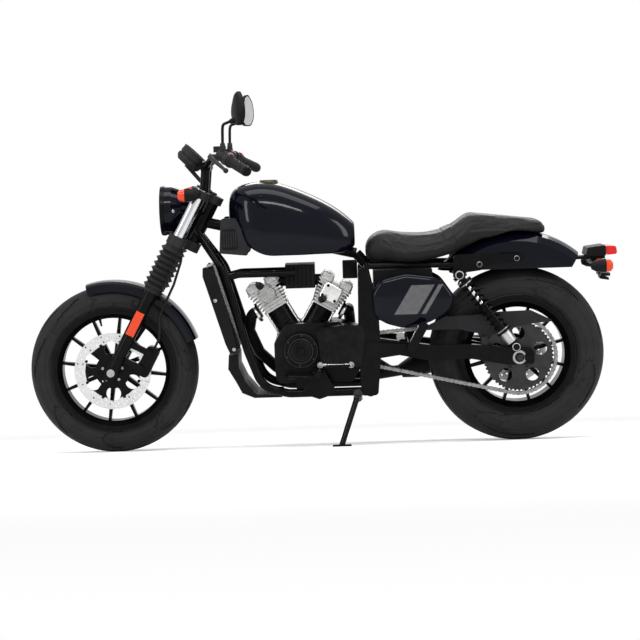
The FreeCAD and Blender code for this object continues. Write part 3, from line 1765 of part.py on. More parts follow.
def exhaust():
    """Header from each head, joined ahead of the muffler on the right."""
    end = V(muffler_x, muffler_y, muffler_z)
    pipes = []
    for side, stations in ((-1, front_pipe_stations), (1, rear_pipe_stations)):
        port = bank_point(side, barrel_high + head_w * 0.19, head_low_w / 2 + fin_deep)
        span = end.sub(port)
        points = [port] + [port.add(V(span.x * a, span.y * b, span.z * c)) for a, b, c in stations]
        flange = rod(port, port.add(points[1].sub(port) * 0.2), pipe_r * 1.4)
        pipes += [bent_tube(points, pipe_r, pipe_bend), flange]
    rise = math.radians(muffler_rise)
    start = -muffler_l * 0.06
    profile = [(start, 0), (start, pipe_r * 1.25), (muffler_l * 0.12, muffler_r), (muffler_l * 0.9, muffler_r)]
    profile += [(muffler_l, muffler_r * 0.8), (muffler_l, muffler_r * 0.5), (muffler_l * 0.9, muffler_r * 0.5)]
    profile += [(muffler_l * 0.9, 0)]
    muffler = turned(profile, end, V(math.cos(rise), 0, math.sin(rise)))
    return pipes[0].multiFuse(pipes[1:] + [muffler])


def battery_box():
    """Box under the seat that holds the battery and the air filter."""
    height = rail_z() - rail_r * 1.5 - running_gap - box_z
    body = block(box_x, -box_half, box_z, box_l, box_half * 2, height)
    reach = plate_outer() - pivot_plate_t - running_gap
    arm = block(box_x - rail_r, -reach, box_z, rail_r * 2, reach * 2, rail_r)
    return body.fuse(arm)


side_cover_shares = (
    (0.0, 0.64),
    (0.12, 0.9),
    (0.42, 1.0),
    (0.88, 0.81),
    (1.0, 0.56),
    (0.87, 0.23),
    (0.67, 0.09),
    (0.39, 0.0),
    (0.17, 0.09),
    (0.03, 0.22),
)


def side_covers():
    """Painted covers beside the battery box, with a stepped face."""
    inner = plate_outer() + running_gap
    points = side_points(side_cover_x, side_cover_z, side_cover_l, side_cover_h, side_cover_shares)
    middle = V(side_cover_x + side_cover_l / 2, 0, side_cover_z + side_cover_h / 2)
    raised = [middle.add(p.sub(middle) * 0.86) for p in points]
    step = side_cover_t * 0.6
    base = slab(points, -inner - step, -inner, side_cover_h * 0.1)
    face = slab(raised, -inner - side_cover_t, -inner, side_cover_h * 0.09)
    return pair(base.fuse(face))


vent_shares = ((0.08, 1.0), (0.55, 1.0), (1.0, 0.24), (0.88, 0.0), (0.0, 0.08), (0.04, 0.6))


def vent_covers():
    """Slotted covers below the tank's front, trimmed to the tank's side."""
    points = side_points(vent_x, vent_z, vent_l, vent_h, vent_shares)
    plate = slab(points, -vent_y - vent_t, -vent_y, vent_l * 0.08)
    slots = []
    for i in range(vent_slots):
        z = vent_z + vent_h * (0.2 + 0.09 * i)
        slot_x = vent_x + vent_l * 0.1
        slots.append(block(slot_x, -vent_y - vent_t * 2, z, vent_l * 0.42, vent_t * 1.3, vent_h * 0.045))
    plate = plate.cut(Part.makeCompound(slots))
    tank = Part.makeLoft([tank_section(*station) for station in tank_stations], True)
    inward = cross_rod(vent_x + vent_l * 0.75, vent_z + vent_h * 0.3, -vent_y, 0, rail_r)
    return pair(plate.cut(tank).fuse(inward.cut(tank)))


def foot_pegs():
    """Bracket plates on the cradle with the rider's ribbed pegs."""
    y = -cradle_half - cradle_r - running_gap
    points = side_points(peg_x - bracket_l / 2, peg_z - bracket_h * 0.86, bracket_l, bracket_h, bracket_shares)
    plate = slab(points, y - bracket_t, y, bracket_t * 2)
    profile = [(0, 0), (0, peg_r / 2), (peg_gap, peg_r / 2), (peg_gap, peg_r)]
    step = (peg_l - peg_gap) / peg_ribs
    for i in range(peg_ribs):
        start = peg_gap + step * i
        profile += [(start + step * 0.6, peg_r), (start + step * 0.6, peg_r * 0.85)]
        profile += [(start + step, peg_r * 0.85), (start + step, peg_r)]
    profile += [(peg_l, peg_r), (peg_l, 0)]
    peg = turned(profile, V(peg_x, y - bracket_t + overrun / 2, peg_z), V(0, -1, 0))
    return pair(plate.fuse(peg))


bracket_shares = ((0.0, 0.4), (0.0, 0.18), (0.5, 0.0), (1.0, 0.16), (1.0, 0.36), (0.62, 1.0), (0.38, 1.0))


def pedal(rise):
    """Left pedal on the peg's bracket, with its toe piece a little above the pivot."""
    face = -cradle_half - cradle_r - running_gap - bracket_t
    y = face - pedal_r * 3
    pivot = V(peg_x - peg_r * 1.6, y, peg_z - peg_r * 0.9)
    boss = cross_rod(pivot.x, pivot.z, y - pedal_r * 1.4, face - running_gap, pedal_r * 1.4)
    toe = pivot.add(V(-pedal_l, 0, rise))
    lever = rod(pivot, toe, pedal_r)
    pad = cross_rod(toe.x, toe.z, toe.y - pad_l, toe.y + pedal_r * 1.4, toe_r)
    return boss.multiFuse([lever, pad])


def foot_pedals():
    """Gear and brake pedals, pivoted on the peg brackets, and the gear linkage."""
    link_y = sprocket_cover_y - pedal_r * 2
    link_z = peg_z + peg_r * 1.5
    ends = [front_sprocket_x - link_l * 0.7, front_sprocket_x + link_l * 0.3]
    eyes = [cross_rod(x, link_z, link_y, sprocket_cover_y - running_gap, pedal_r) for x in ends]
    link = rod(V(ends[0], link_y, link_z), V(ends[1], link_y, link_z), pedal_r * 0.7)
    return Part.makeCompound([pedal(pedal_rise), mirrored(pedal(brake_rise)), link.multiFuse(eyes)])


def passenger_pegs():
    """Hangers on the pivot plates with the folded passenger pegs."""
    inner = plate_outer() + running_gap
    length = pillion_peg_x - pivot_x
    points = [V(pivot_x + length * a, 0, pillion_peg_z + pillion_peg_w * b) for a, b in hanger_shares]
    plate = slab(points, -inner - bracket_t, -inner, bracket_t * 2)
    base = V(pillion_peg_x, 0, pillion_peg_z)
    tip = base.add(V(pillion_peg_l * 0.5, 0, pillion_peg_l * 0.86))
    out = inner + side_cover_t + running_gap
    side = tip.sub(base).cross(ALONG_Y).normalize() * (pillion_peg_w / 2)
    corners = [base.add(side), base.sub(side), tip.sub(side), tip.add(side)]
    peg = slab(corners, -out - pillion_peg_w * 0.9, -out, pillion_peg_w / 4)
    boss = cross_rod(base.x, base.z, -out - rim_wall, -inner, pillion_peg_w / 3)
    return pair(plate.multiFuse([boss, peg]))


hanger_shares = ((-0.1, -1.0), (0.3, -0.9), (1.05, -0.45), (1.12, 0.3), (1.0, 0.6), (0.25, 0.9), (-0.1, 1.1))

guard_shares = (
    (0.0, 0.55),
    (0.16, 0.86),
    (0.41, 0.9),
    (0.57, 0.98),
    (0.82, 1.0),
    (1.0, 0.6),
    (0.84, 0.54),
    (0.63, 0.44),
    (0.52, 0.2),
    (0.48, -0.02),
    (0.43, -0.02),
    (0.41, 0.25),
    (0.26, 0.42),
    (0.01, 0.42),
)


def chain_guard():
    """Guard plate outside the chain's upper run, with a foot on the left arm."""
    inner = arm_half - arm_t / 2 + running_gap
    points = side_points(guard_x, guard_z, guard_l, guard_h, guard_shares)
    plate = slab(points, -inner - guard_t, -inner, guard_t)
    arm = swingarm()
    foot_x = guard_x + guard_l * 0.43
    foot_z = guard_z - guard_h * 0.15
    foot_t = arm_t * 0.8
    foot = block(foot_x, -inner - foot_t, foot_z, guard_l * 0.05, foot_t, guard_h * 0.3)
    return plate.fuse(foot).cut(arm)


def rear_caliper():
    """Rear caliper over the disc, on the inside of the right arm."""
    outer = arm_half - arm_t / 2 - running_gap
    inner = rear_rim_w / 2 + rim_wall
    reach = rear_disc_r * 0.95
    low_z = reach - caliper_depth / 2
    body = block(-caliper_l * 0.4, inner, low_z, caliper_l * 0.8, outer - inner, caliper_depth)
    body.rotate(ZERO, ALONG_Y, -rear_caliper_angle)
    body.translate(rear_axle)
    half = disc_t / 2 + pad_gap
    slot = cross_rod(wheelbase, rear_axle_z, rear_disc_y - half, rear_disc_y + half, rear_disc_r + pad_gap * 2)
    return body.cut(slot)


BODIES = {
    "chassis": {
        "frame": frame,
        "swingarm": swingarm,
        "fuel_tank": fuel_tank,
        "fuel_cap": fuel_cap,
        "seat": seat,
        "rear_fender": rear_fender,
        "fender_struts": fender_struts,
        "tail_bracket": tail_bracket,
        "tail_lamp_housing": tail_lamp_housing,
        "tail_lamp_lens": tail_lamp_lens,
        "rear_indicators": rear_indicators,
        "rear_indicator_lenses": rear_indicator_lenses,
        "crankcase": crankcase,
        "engine_covers": engine_covers,
        "cylinder_barrels": cylinder_barrels,
        "cylinder_heads": cylinder_heads,
        "intake_box": intake_box,
        "radiator": radiator,
        "radiator_shroud": radiator_shroud,
        "lower_fairing": lower_fairing,
        "exhaust": exhaust,
        "battery_box": battery_box,
        "side_covers": side_covers,
        "vent_covers": vent_covers,
        "shocks": shocks,
        "shock_springs": shock_springs,
        "chain": chain,
        "chain_guard": chain_guard,
        "rear_caliper": rear_caliper,
        "foot_pegs": foot_pegs,
        "foot_pedals": foot_pedals,
        "passenger_pegs": passenger_pegs,
    },
    "steering": {
        "steering_clamps": steering_clamps,
        "fork_tubes": fork_tubes,
        "fork_sliders": fork_sliders,
        "fork_gaiters": fork_gaiters,
        "fork_reflectors": fork_reflectors,
        "front_axle": front_axle_bar,
        "front_fender": front_fender,
        "front_caliper": front_caliper,
        "brake_hose": brake_hose,
        "headlight_shell": headlight_shell,
        "headlight_lens": headlight_lens,
        "instrument": instrument,
        "front_indicators": front_indicators,
        "front_indicator_lenses": front_indicator_lenses,
        "handlebar": handlebar,
        "grips": grips,
        "switchgear": switchgear,
        "mirrors": mirrors,
    },
    "front_wheel": {"front_wheel": front_wheel, "front_tyre": front_tyre, "front_disc": front_disc},
    "rear_wheel": {
        "rear_wheel": rear_wheel,
        "rear_tyre": rear_tyre,
        "rear_sprocket": sprocket,
        "rear_disc": rear_disc,
    },
    "side_stand": {"side_stand": stand_leg},
}


def leaned(shape):
    """Leans the upright machine over to its left, about the line through both tyres' contacts."""
    shape.rotate(ZERO, ALONG_X, lean)
    return shape


def standing_shift(shapes):
    """Move that puts the origin on the ground below the middle of the whole machine."""
    box = FreeCAD.BoundBox()
    for shape in shapes:
        box.add(shape.optimalBoundingBox(False, False))
    return V(-(box.XMin + box.XMax) / 2, -(box.YMin + box.YMax) / 2, -box.ZMin)


def build():
    """All pieces by name, parked, and the move that was made after leaning."""
    pieces = {name: leaned(make()) for nodes in BODIES.values() for name, make in nodes.items()}
    shift = standing_shift(pieces.values())
    for shape in pieces.values():
        shape.translate(shift)
    return pieces, shift


def main():
    os.makedirs("parts", exist_ok=True)
    pieces, shift = build()
    for name, shape in pieces.items():
        shape.exportStep("parts/" + name + ".step")
        print(name, "solids", len(shape.Solids), "litres", round(shape.Volume / 1e6, 3))
    print("shift", shift, "fold", stand_fold(), "axis", stand_axis())


main()
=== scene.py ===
# %% [markdown]
# # A parked cruiser motorcycle
# The metal work of this motorcycle comes packed from the CAD model, so this lesson starts by loading
# it. What is left for Blender is the finish of each surface and the pieces whose form is soft, small
# or repeated: the tyres' tread, the seat's cover, the chain's links, the drilled brake discs, the
# mirrors, trim and bolts. The loader gives every CAD piece as an object whose place is in its mesh.

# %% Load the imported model
import json
import math
import random

import bmesh
import bpy
from mathutils import Matrix, Vector
from mathutils.bvhtree import BVHTree


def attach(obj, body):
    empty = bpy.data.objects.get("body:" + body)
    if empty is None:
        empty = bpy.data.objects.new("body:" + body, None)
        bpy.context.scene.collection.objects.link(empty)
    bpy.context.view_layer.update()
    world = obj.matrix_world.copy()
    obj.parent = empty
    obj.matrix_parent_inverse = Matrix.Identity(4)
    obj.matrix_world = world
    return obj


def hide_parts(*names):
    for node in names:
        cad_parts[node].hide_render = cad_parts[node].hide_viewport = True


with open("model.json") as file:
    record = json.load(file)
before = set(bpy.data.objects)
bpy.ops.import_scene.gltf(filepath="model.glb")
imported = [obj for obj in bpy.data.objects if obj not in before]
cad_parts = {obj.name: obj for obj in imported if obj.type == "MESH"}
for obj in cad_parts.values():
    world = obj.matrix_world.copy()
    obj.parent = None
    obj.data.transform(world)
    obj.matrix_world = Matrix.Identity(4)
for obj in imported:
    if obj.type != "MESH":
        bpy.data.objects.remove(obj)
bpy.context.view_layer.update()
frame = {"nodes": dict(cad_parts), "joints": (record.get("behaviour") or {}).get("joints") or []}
nodes = frame["nodes"]
random.seed(7)
print("CAD pieces:", len(nodes))

# %% [markdown]
# ## One frame for drawing, one for parking
# A motorcycle is drawn upright: x runs rearwards from the front axle, y is negative on the rider's
# left and z is the height above the ground. It stands leaning on its side stand. Each new piece is
# drawn upright, because its own directions are simple there, and is then moved into the parked
# place. The front wheel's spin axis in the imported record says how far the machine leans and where
# it stands, so only the two axles' own places are written out here.

# %% The parked place
joints = {joint["name"]: joint for joint in frame["joints"]}
spin_axis = Vector(joints["front_wheel_spin"]["axis"])
lean_angle = math.atan2(spin_axis.z, spin_axis.y)
front_axle = Vector((0, 0, 0.299))
rear_axle = Vector((1.43, 0, 0.3105))
leaning = Matrix.Rotation(lean_angle, 4, "X")
stand_shift = Vector(joints["front_wheel_spin"]["pos_m"]) - leaning @ front_axle
parked = Matrix.Translation(stand_shift) @ leaning
fork_rake = math.radians(28.5)
LEFT, RIGHT, REAR, UP = Vector((0, -1, 0)), Vector((0, 1, 0)), Vector((1, 0, 0)), Vector((0, 0, 1))


def around(centre, radius, turn):
    """A point on an upright circle, at an angle in radians from the rear."""
    return Vector(centre) + Vector((math.cos(turn), 0, math.sin(turn))) * radius


def circle_of(centre, radius, count, first=0.0):
    """Evenly spaced points on an upright circle, the first at an angle in degrees."""
    return [around(centre, radius, math.radians(first + 360 * index / count)) for index in range(count)]


print("lean in degrees:", round(math.degrees(lean_angle), 2))

# %% [markdown]
# ## The camera
# The photograph is a side view from the rider's left with a long lens, a few metres away and low
# down. A long lens flattens the view, so both wheels look round. The horizon in the photograph is
# turned by almost two degrees, which the camera repeats as a roll.

# %% Camera
camera_data = bpy.data.cameras.new("side camera")
camera_data.lens = 103.2
camera_data.sensor_width = 36
camera_data.clip_end = 100
camera = bpy.data.objects.new("side camera", camera_data)
bpy.context.collection.objects.link(camera)
camera.location = (0.079, -6.444, 0.18)
camera_turn = Matrix.Rotation(0.0133, 4, "Z") @ Matrix.Rotation(math.pi / 2 + 0.0407, 4, "X")
camera_turn = camera_turn @ Matrix.Rotation(-0.0312, 4, "Z")
camera.rotation_euler = camera_turn.to_euler()
bpy.context.scene.camera = camera
print("camera distance:", round(camera.location.length, 2))

# %% [markdown]
# ## Light and floor
# A black machine is drawn by its reflections. A studio uses large white panels, so the paint shows
# long soft highlights and the edges stay readable. Here the world is white to the camera and in
# reflections, and dimmer as a light. Lamps give shape from above and both ends, and two long strips
# draw the bright lines that run along the tank.
# The floor is a pale disc that fades out before its edge, so no horizon line crosses the picture.

# %% Shader sums
class Link:
    """One output of a shader node, which can be used in sums."""

    def __init__(self, finish, socket):
        self.finish = finish
        self.socket = socket

    def sum(self, operation, first, second):
        return self.finish.node("ShaderNodeMath", {"operation": operation}, {0: first, 1: second})

    def __add__(self, other):
        return self.sum("ADD", self, other)

    def __radd__(self, other):
        return self.sum("ADD", other, self)

    def __mul__(self, other):
        return self.sum("MULTIPLY", self, other)

    def __rmul__(self, other):
        return self.sum("MULTIPLY", other, self)


class Finish:
    """A material that is put together from nodes."""

    def __init__(self, name, tree=None):
        self.material = None
        if tree is None:
            self.material = bpy.data.materials.new(name)
            self.material.use_nodes = True
            tree = self.material.node_tree
        self.tree = tree
        self.tree.nodes.clear()

    def node(self, kind, settings=None, inputs=None, output=0):
        """Adds any node: its settings first, then the values or links of its sockets."""
        made = self.tree.nodes.new(kind)
        for key, value in (settings or {}).items():
            if key == "stops":
                ramp = made.color_ramp.elements
                while len(ramp) < len(value):
                    ramp.new(0.5)
                for stop, (place, colour) in zip(ramp, value):
                    stop.position = place
                    stop.color = colour
            else:
                setattr(made, key, value)
        for key, value in (inputs or {}).items():
            if isinstance(value, Link):
                self.tree.links.new(value.socket, made.inputs[key])
            else:
                made.inputs[key].default_value = value
        return Link(self, made.outputs[output]) if made.outputs else made

    def place(self):
        return self.node("ShaderNodeTexCoord", output="Object")

    def stretched(self, scale):
        """Object coordinates scaled by a different amount along each axis."""
        return self.node("ShaderNodeMapping", inputs={"Vector": self.place(), "Scale": scale})

    def noise(self, scale, detail=2.0, rough=0.5, vector=None):
        sockets = {"Vector": vector or self.place(), "Scale": scale, "Detail": detail, "Roughness": rough}
        return self.node("ShaderNodeTexNoise", inputs=sockets)

    def cells(self, scale):
        return self.node("ShaderNodeTexVoronoi", inputs={"Vector": self.place(), "Scale": scale})

    def ramp(self, value, stops):
        grey = [(place, (level, level, level, 1)) for place, level in stops]
        return self.node("ShaderNodeValToRGB", {"stops": grey}, {"Fac": value})

    def blend(self, share, first, second):
        settings = {"data_type": "RGBA"}
        return self.node("ShaderNodeMix", settings, {0: share, 6: first, 7: second}, 2)

    def bump(self, height, distance, strength):
        sockets = {"Height": height, "Distance": distance, "Strength": strength}
        return self.node("ShaderNodeBump", inputs=sockets)

    def surface(self, **sockets):
        """Ends the material with one Principled shader."""
        named = {key.replace("_", " "): value for key, value in sockets.items()}
        shader = self.node("ShaderNodeBsdfPrincipled", inputs=named)
        self.node("ShaderNodeOutputMaterial", inputs={"Surface": shader})
        return self.material


print("shader helper ready")

# %% World
world = bpy.data.worlds.new("studio")
bpy.context.scene.world = world
world.use_nodes = True
studio = Finish("studio", world.node_tree)
ray = studio.tree.nodes.new("ShaderNodeLightPath")
rays = [Link(studio, ray.outputs[f"Is {kind} Ray"]) for kind in ("Camera", "Transmission", "Glossy")]
seen = rays[0]
for other in rays[1:]:
    seen = seen.sum("MAXIMUM", seen, other)
sky = studio.node("ShaderNodeBackground", inputs={"Color": (1, 1, 1, 1), "Strength": 0.62 + seen * 0.38})
studio.node("ShaderNodeOutputWorld", inputs={"Surface": sky})
bpy.context.scene.view_settings.view_transform = "Standard"
print("world ready")


# %% Lamps
def panel(name, place, target, size, watts):
    """A rectangular studio lamp that faces a point."""
    data = bpy.data.lights.new(name, "AREA")
    data.shape = "RECTANGLE"
    data.size = size[0]
    data.size_y = size[1]
    data.energy = watts
    lamp = bpy.data.objects.new(name, data)
    bpy.context.collection.objects.link(lamp)
    lamp.location = place
    lamp.rotation_euler = (Vector(target) - Vector(place)).to_track_quat("-Z", "Y").to_euler()


for lamp in (("top panel", (0.0, -0.5, 3.2), (0, 0, 0.6), (3.4, 1.0), 60),
             ("near strip", (-0.2, -2.6, 2.6), (0, 0, 0.8), (3.2, 0.3), 70),
             ("front panel", (-3.0, -2.0, 1.6), (0, 0, 0.5), (0.5, 2.2), 40),
             ("rear panel", (3.0, -1.8, 1.6), (0.2, 0, 0.5), (0.5, 2.2), 35),
             ("far strip", (0.2, 2.6, 2.6), (0, 0, 0.8), (3.2, 0.7), 45)):
    panel(*lamp)

# %% Floor
floor_r, fade_from, fade_to = 9, 1.2, 5.0
bpy.ops.mesh.primitive_circle_add(vertices=96, radius=floor_r, fill_type="NGON", location=(0, 0, 0))
floor = bpy.context.object
floor.name = "floor"
pale = Finish("pale floor")
reach = pale.node("ShaderNodeVectorMath", {"operation": "LENGTH"}, {0: pale.place()}, "Value")
fade = pale.node("ShaderNodeMapRange", {"interpolation_type": "SMOOTHSTEP"}, {0: reach, 1: fade_from, 2: fade_to})
ground = pale.node("ShaderNodeBsdfDiffuse", inputs={"Color": (0.9, 0.9, 0.9, 1)})
clear = pale.node("ShaderNodeBsdfTransparent")
mixed = pale.node("ShaderNodeMixShader", inputs={0: fade, 1: ground, 2: clear})
pale.node("ShaderNodeOutputMaterial", inputs={"Surface": mixed})
floor.data.materials.append(pale.material)
print("floor ready")

# %% [markdown]
# ## Finishes
# Nearly everything here is black, so the finishes have to differ in how they shine. The tank's paint
# is a deep gloss under clear lacquer, with a trace of blue. Frame and wheels are powder coated, which
# is a satin skin with a fine orange-peel texture. Engine cases are cast and painted, so they show a
# coarse grain. Every finish below takes its pattern from object coordinates in metres, so a grain of
# a third of a millimetre is a noise scale of about 3000.

# %% Painted finishes
finishes = {}
COAT_SHINE = 0.055
WIDE_CLOUDS = ((0.35, 0.0), (0.7, 1.0))
RUBBED = ((0.35, 0.0), (0.75, 1.0))


def tone(level, blue=None):
    """A grey as a colour, with its blue a little apart if asked."""
    return (level, level, level if blue is None else blue, 1)


NAVY_BLACK = (0.0012, 0.0015, 0.004, 1)
NAVY_CLOUD = (0.0016, 0.0022, 0.0068, 1)
DEEP_BLACK = tone(0.0022, 0.0024)
SATIN_BLACK = tone(0.0055, 0.0058)
WORN_BLACK = tone(0.011, 0.0115)


def gloss_paint():
    paint = Finish("gloss paint")
    flake = paint.ramp(paint.noise(5200, 1), ((0.55, 0.0), (0.75, 1.0)))
    cloud = paint.ramp(paint.noise(9, 3), WIDE_CLOUDS)
    colour = paint.blend(flake * 0.35 + cloud * 0.3, NAVY_BLACK, NAVY_CLOUD)
    return paint.surface(Base_Color=colour, Roughness=0.16 + cloud * 0.08, Coat_Weight=0.32, Coat_Roughness=0.03,
                         Coat_IOR=1.36, Normal=paint.bump(paint.noise(420, 1), 0.00012, 0.25),
                         Specular_IOR_Level=0.03)


def coated(name, low, high, rough, grain, depth):
    """Powder coat or paint on metal: two close blacks, a grain and a rubbed roughness."""
    coat = Finish(name)
    patches = coat.ramp(coat.noise(26, 4), WIDE_CLOUDS)
    specks = coat.ramp(coat.noise(900, 2), ((0.62, 0.0), (0.72, 1.0)))
    colour = coat.blend(patches * 0.55 + specks * 0.3, low, high)
    skin = coat.bump(coat.noise(grain, 3), depth, 0.6)
    return coat.surface(Base_Color=colour, Roughness=rough + patches * 0.1 + specks * 0.05, Normal=skin,
                        Specular_IOR_Level=COAT_SHINE)


finishes["paint"] = gloss_paint()
for name, *sizes in (("frame_black", "powder coat", DEEP_BLACK, SATIN_BLACK, 0.16, 1500, 0.00005),
                     ("wheel_black", "wheel coat", DEEP_BLACK, SATIN_BLACK, 0.14, 1700, 0.00004),
                     ("engine_black", "engine enamel", DEEP_BLACK, WORN_BLACK, 0.2, 2300, 0.00008),
                     ("exhaust_black", "heatproof coat", SATIN_BLACK, WORN_BLACK, 0.36, 2600, 0.00015),
                     ("grey_coat", "grey clamp coat", tone(0.014, 0.0145), tone(0.028, 0.029), 0.3, 1800, 0.0001)):
    finishes[name] = coated(*sizes)
print("painted finishes:", len(finishes))


# %% Metal finishes
def metal(name, low, high, rough, scale, depth, stretch, stain=0.0):
    """Bare metal: a grain that may be drawn out one way, and faint stains."""
    bare = Finish(name)
    grain = bare.noise(scale, 3, 0.6, bare.stretched(stretch))
    patches = bare.ramp(bare.noise(34, 4), ((0.3, 0.0), (0.75, 1.0)))
    colour = bare.blend(grain * 0.6 + patches * 0.4, low, high)
    if stain:
        spots = bare.ramp(bare.noise(75, 5, 0.65), ((0.5, 0.0), (0.68, 1.0)))
        colour = bare.blend(spots * stain, colour, (0.05, 0.045, 0.04, 1))
    return bare.surface(Base_Color=colour, Metallic=1.0, Roughness=rough + grain * 0.14 + patches * 0.06,
                        Normal=bare.bump(grain, depth, 0.5))


BRONZE, PALE_BRONZE = (0.03, 0.026, 0.018, 1), (0.09, 0.078, 0.05, 1)
BLUE_CHROME, CHROME = (0.42, 0.43, 0.45, 1), (0.6, 0.6, 0.61, 1)
CROSSWISE, EVEN = (1, 0.2, 1), (1, 1, 1)
for name, *sizes in (
        ("cast_alloy", "cast alloy", tone(0.3, 0.295), tone(0.52, 0.51), 0.3, 1300, 0.00025, EVEN, 0.45),
        ("bright_alloy", "polished alloy", tone(0.5, 0.49), tone(0.66, 0.65), 0.24, 900, 0.0001, EVEN, 0.12),
        ("cap_bronze", "bronzed cap", BRONZE, PALE_BRONZE, 0.22, 800, 0.0001, EVEN, 0.2),
        ("steel", "zinc plate", tone(0.2), (0.42, 0.415, 0.4, 1), 0.24, 700, 0.00008, EVEN, 0.35),
        ("disc_steel", "ground steel", tone(0.4), tone(0.62), 0.2, 900, 0.00006, CROSSWISE),
        ("chain_steel", "oiled steel", tone(0.1), (0.34, 0.335, 0.33, 1), 0.28, 500, 0.0001, EVEN, 0.6),
        ("dark_steel", "hardened steel", tone(0.018), tone(0.05), 0.3, 600, 0.0001, EVEN, 0.3),
        ("chrome", "hard chrome", BLUE_CHROME, CHROME, 0.04, 300, 0.00002, EVEN)):
    finishes[name] = metal(*sizes)
print("with metals:", len(finishes))


# %% Plastic, rubber and vinyl
def moulded(name, low, high, rough, grain, depth, specular=COAT_SHINE):
    """A moulded surface: a pebbled skin made of small cells."""
    skin = Finish(name)
    pebbles = skin.cells(grain)
    rubbed = skin.ramp(skin.noise(18, 3), RUBBED)
    colour = skin.blend(rubbed * 0.5 + pebbles * 0.4, low, high)
    return skin.surface(Base_Color=colour, Roughness=rough + rubbed * 0.12, Normal=skin.bump(pebbles, depth, 0.5),
                        Specular_IOR_Level=specular)


for name, *sizes in (
        ("black_plastic", "black plastic", tone(0.004), tone(0.009), 0.36, 1900, 0.0001),
        ("grey_plastic", "grey plastic", tone(0.012, 0.013), tone(0.024, 0.026), 0.4, 1500, 0.00012),
        ("rubber", "rubber", tone(0.005), tone(0.012), 0.55, 1200, 0.00015, 0.16),
        ("tyre", "tyre rubber", tone(0.008, 0.0082), tone(0.018, 0.0185), 0.58, 900, 0.0002, 0.12),
        ("seat_vinyl", "seat vinyl", tone(0.006, 0.0062), tone(0.013, 0.0134), 0.36, 620, 0.0004, 0.09)):
    finishes[name] = moulded(*sizes)
print("with soft finishes:", len(finishes))


# %% Lenses
def lens(name, thin, thick):
    """Coloured lamp plastic: deeper colour where the moulding is thick."""
    glass = Finish(name)
    ribs = glass.node("ShaderNodeTexWave", {"bands_direction": "Z"}, {"Vector": glass.place(), "Scale": 120.0})
    colour = glass.blend(ribs * 0.5 + glass.noise(60, 2) * 0.5, thin, thick)
    return glass.surface(Base_Color=colour, Roughness=0.08, Coat_Weight=0.3, Coat_Roughness=0.03,
                         Normal=glass.bump(ribs, 0.0003, 0.3), Specular_IOR_Level=0.15)


finishes["red_lens"] = lens("red lens", (0.6, 0.008, 0.006, 1), (0.3, 0.003, 0.003, 1))
finishes["amber_lens"] = lens("amber lens", (0.62, 0.05, 0.008, 1), (0.4, 0.024, 0.005, 1))


def clear_lens():
    glass = Finish("clear lens")
    flutes = glass.node("ShaderNodeTexWave", {"bands_direction": "Y"}, {"Vector": glass.place(), "Scale": 55.0})
    return glass.surface(Base_Color=glass.blend(flutes, (0.9, 0.92, 0.94, 1), tone(0.98)),
                         Roughness=0.02 + flutes * 0.03, Transmission_Weight=1.0, IOR=1.45,
                         Normal=glass.bump(flutes, 0.0006, 0.35))


finishes["clear_lens"] = clear_lens()
print("all finishes:", sorted(finishes))

# %% [markdown]
# The record says which finish every CAD piece takes. The pieces keep their meshes and only get a
# better material in the slot that they already have. A few take a closer match: the sprocket is dark
# hardened steel, the fork clamps are grey, and the fuel cap is bronzed.

# %% Dress the CAD pieces
for piece in nodes.values():
    for place in piece.material_slots:
        place.material = finishes[place.material.name]
closer = {"rear_sprocket": "dark_steel", "steering_clamps": "grey_coat", "fuel_cap": "cap_bronze",
          "instrument": "grey_plastic", "switchgear": "grey_plastic"}
for name, finish in closer.items():
    for place in nodes[name].material_slots:
        place.material = finishes[finish]
print("dressed:", len(nodes))

# %% [markdown]
# ## Working as by hand
# Most small metal pieces start in one of two ways. A turned piece, such as a tyre, is half of its
# section drawn as a line of edges and spun round its axle. A plate is an outline that is filled and
# extruded. A bent bar is a curve with a round section. These helpers hold those moves, so that each
# later cell only gives sizes.

# %% Selecting
def let_go():
    """Object mode with nothing selected, so that the next operator acts only on its own piece."""
    if bpy.context.object and bpy.context.object.mode != "OBJECT":
        bpy.ops.object.mode_set(mode="OBJECT")
    bpy.ops.object.select_all(action="DESELECT")


def hold(piece):
    """Selects only this piece and makes it the active one."""
    let_go()
    bpy.context.view_layer.objects.active = piece
    piece.select_set(True)


def edit(piece, kind="FACE"):
    hold(piece)
    bpy.ops.object.mode_set(mode="EDIT")
    bpy.ops.mesh.select_mode(type=kind)
    bpy.ops.mesh.select_all(action="DESELECT")


def pick(piece, test):
    """Adds the faces that pass the test to the selection."""
    form = bmesh.from_edit_mesh(piece.data)
    chosen = [face for face in form.faces if test(face)]
    for face in chosen:
        face.select_set(True)
    form.select_flush_mode()
    bmesh.update_edit_mesh(piece.data)
    return len(chosen)


def apply_all(piece):
    hold(piece)
    for modifier in list(piece.modifiers):
        bpy.ops.object.modifier_apply(modifier=modifier.name)


print("selection helpers ready")


# %% Lines, turned shapes and plates
def line_of(points, closed=False):
    """Edges through the points: a small plane is merged to one corner, which is extruded on."""
    let_go()
    bpy.ops.mesh.primitive_plane_add(size=0.001, location=points[0])
    piece = bpy.context.object
    bpy.ops.object.mode_set(mode="EDIT")
    bpy.ops.mesh.select_mode(type="VERT")
    bpy.ops.mesh.select_all(action="SELECT")
    bpy.ops.mesh.merge(type="CENTER")
    for first, second in zip(points, points[1:]):
        bpy.ops.mesh.extrude_vertices_move(TRANSFORM_OT_translate={"value": Vector(second) - Vector(first)})
    if closed:
        bpy.ops.mesh.select_all(action="SELECT")
        bpy.ops.mesh.edge_face_add()
    return piece


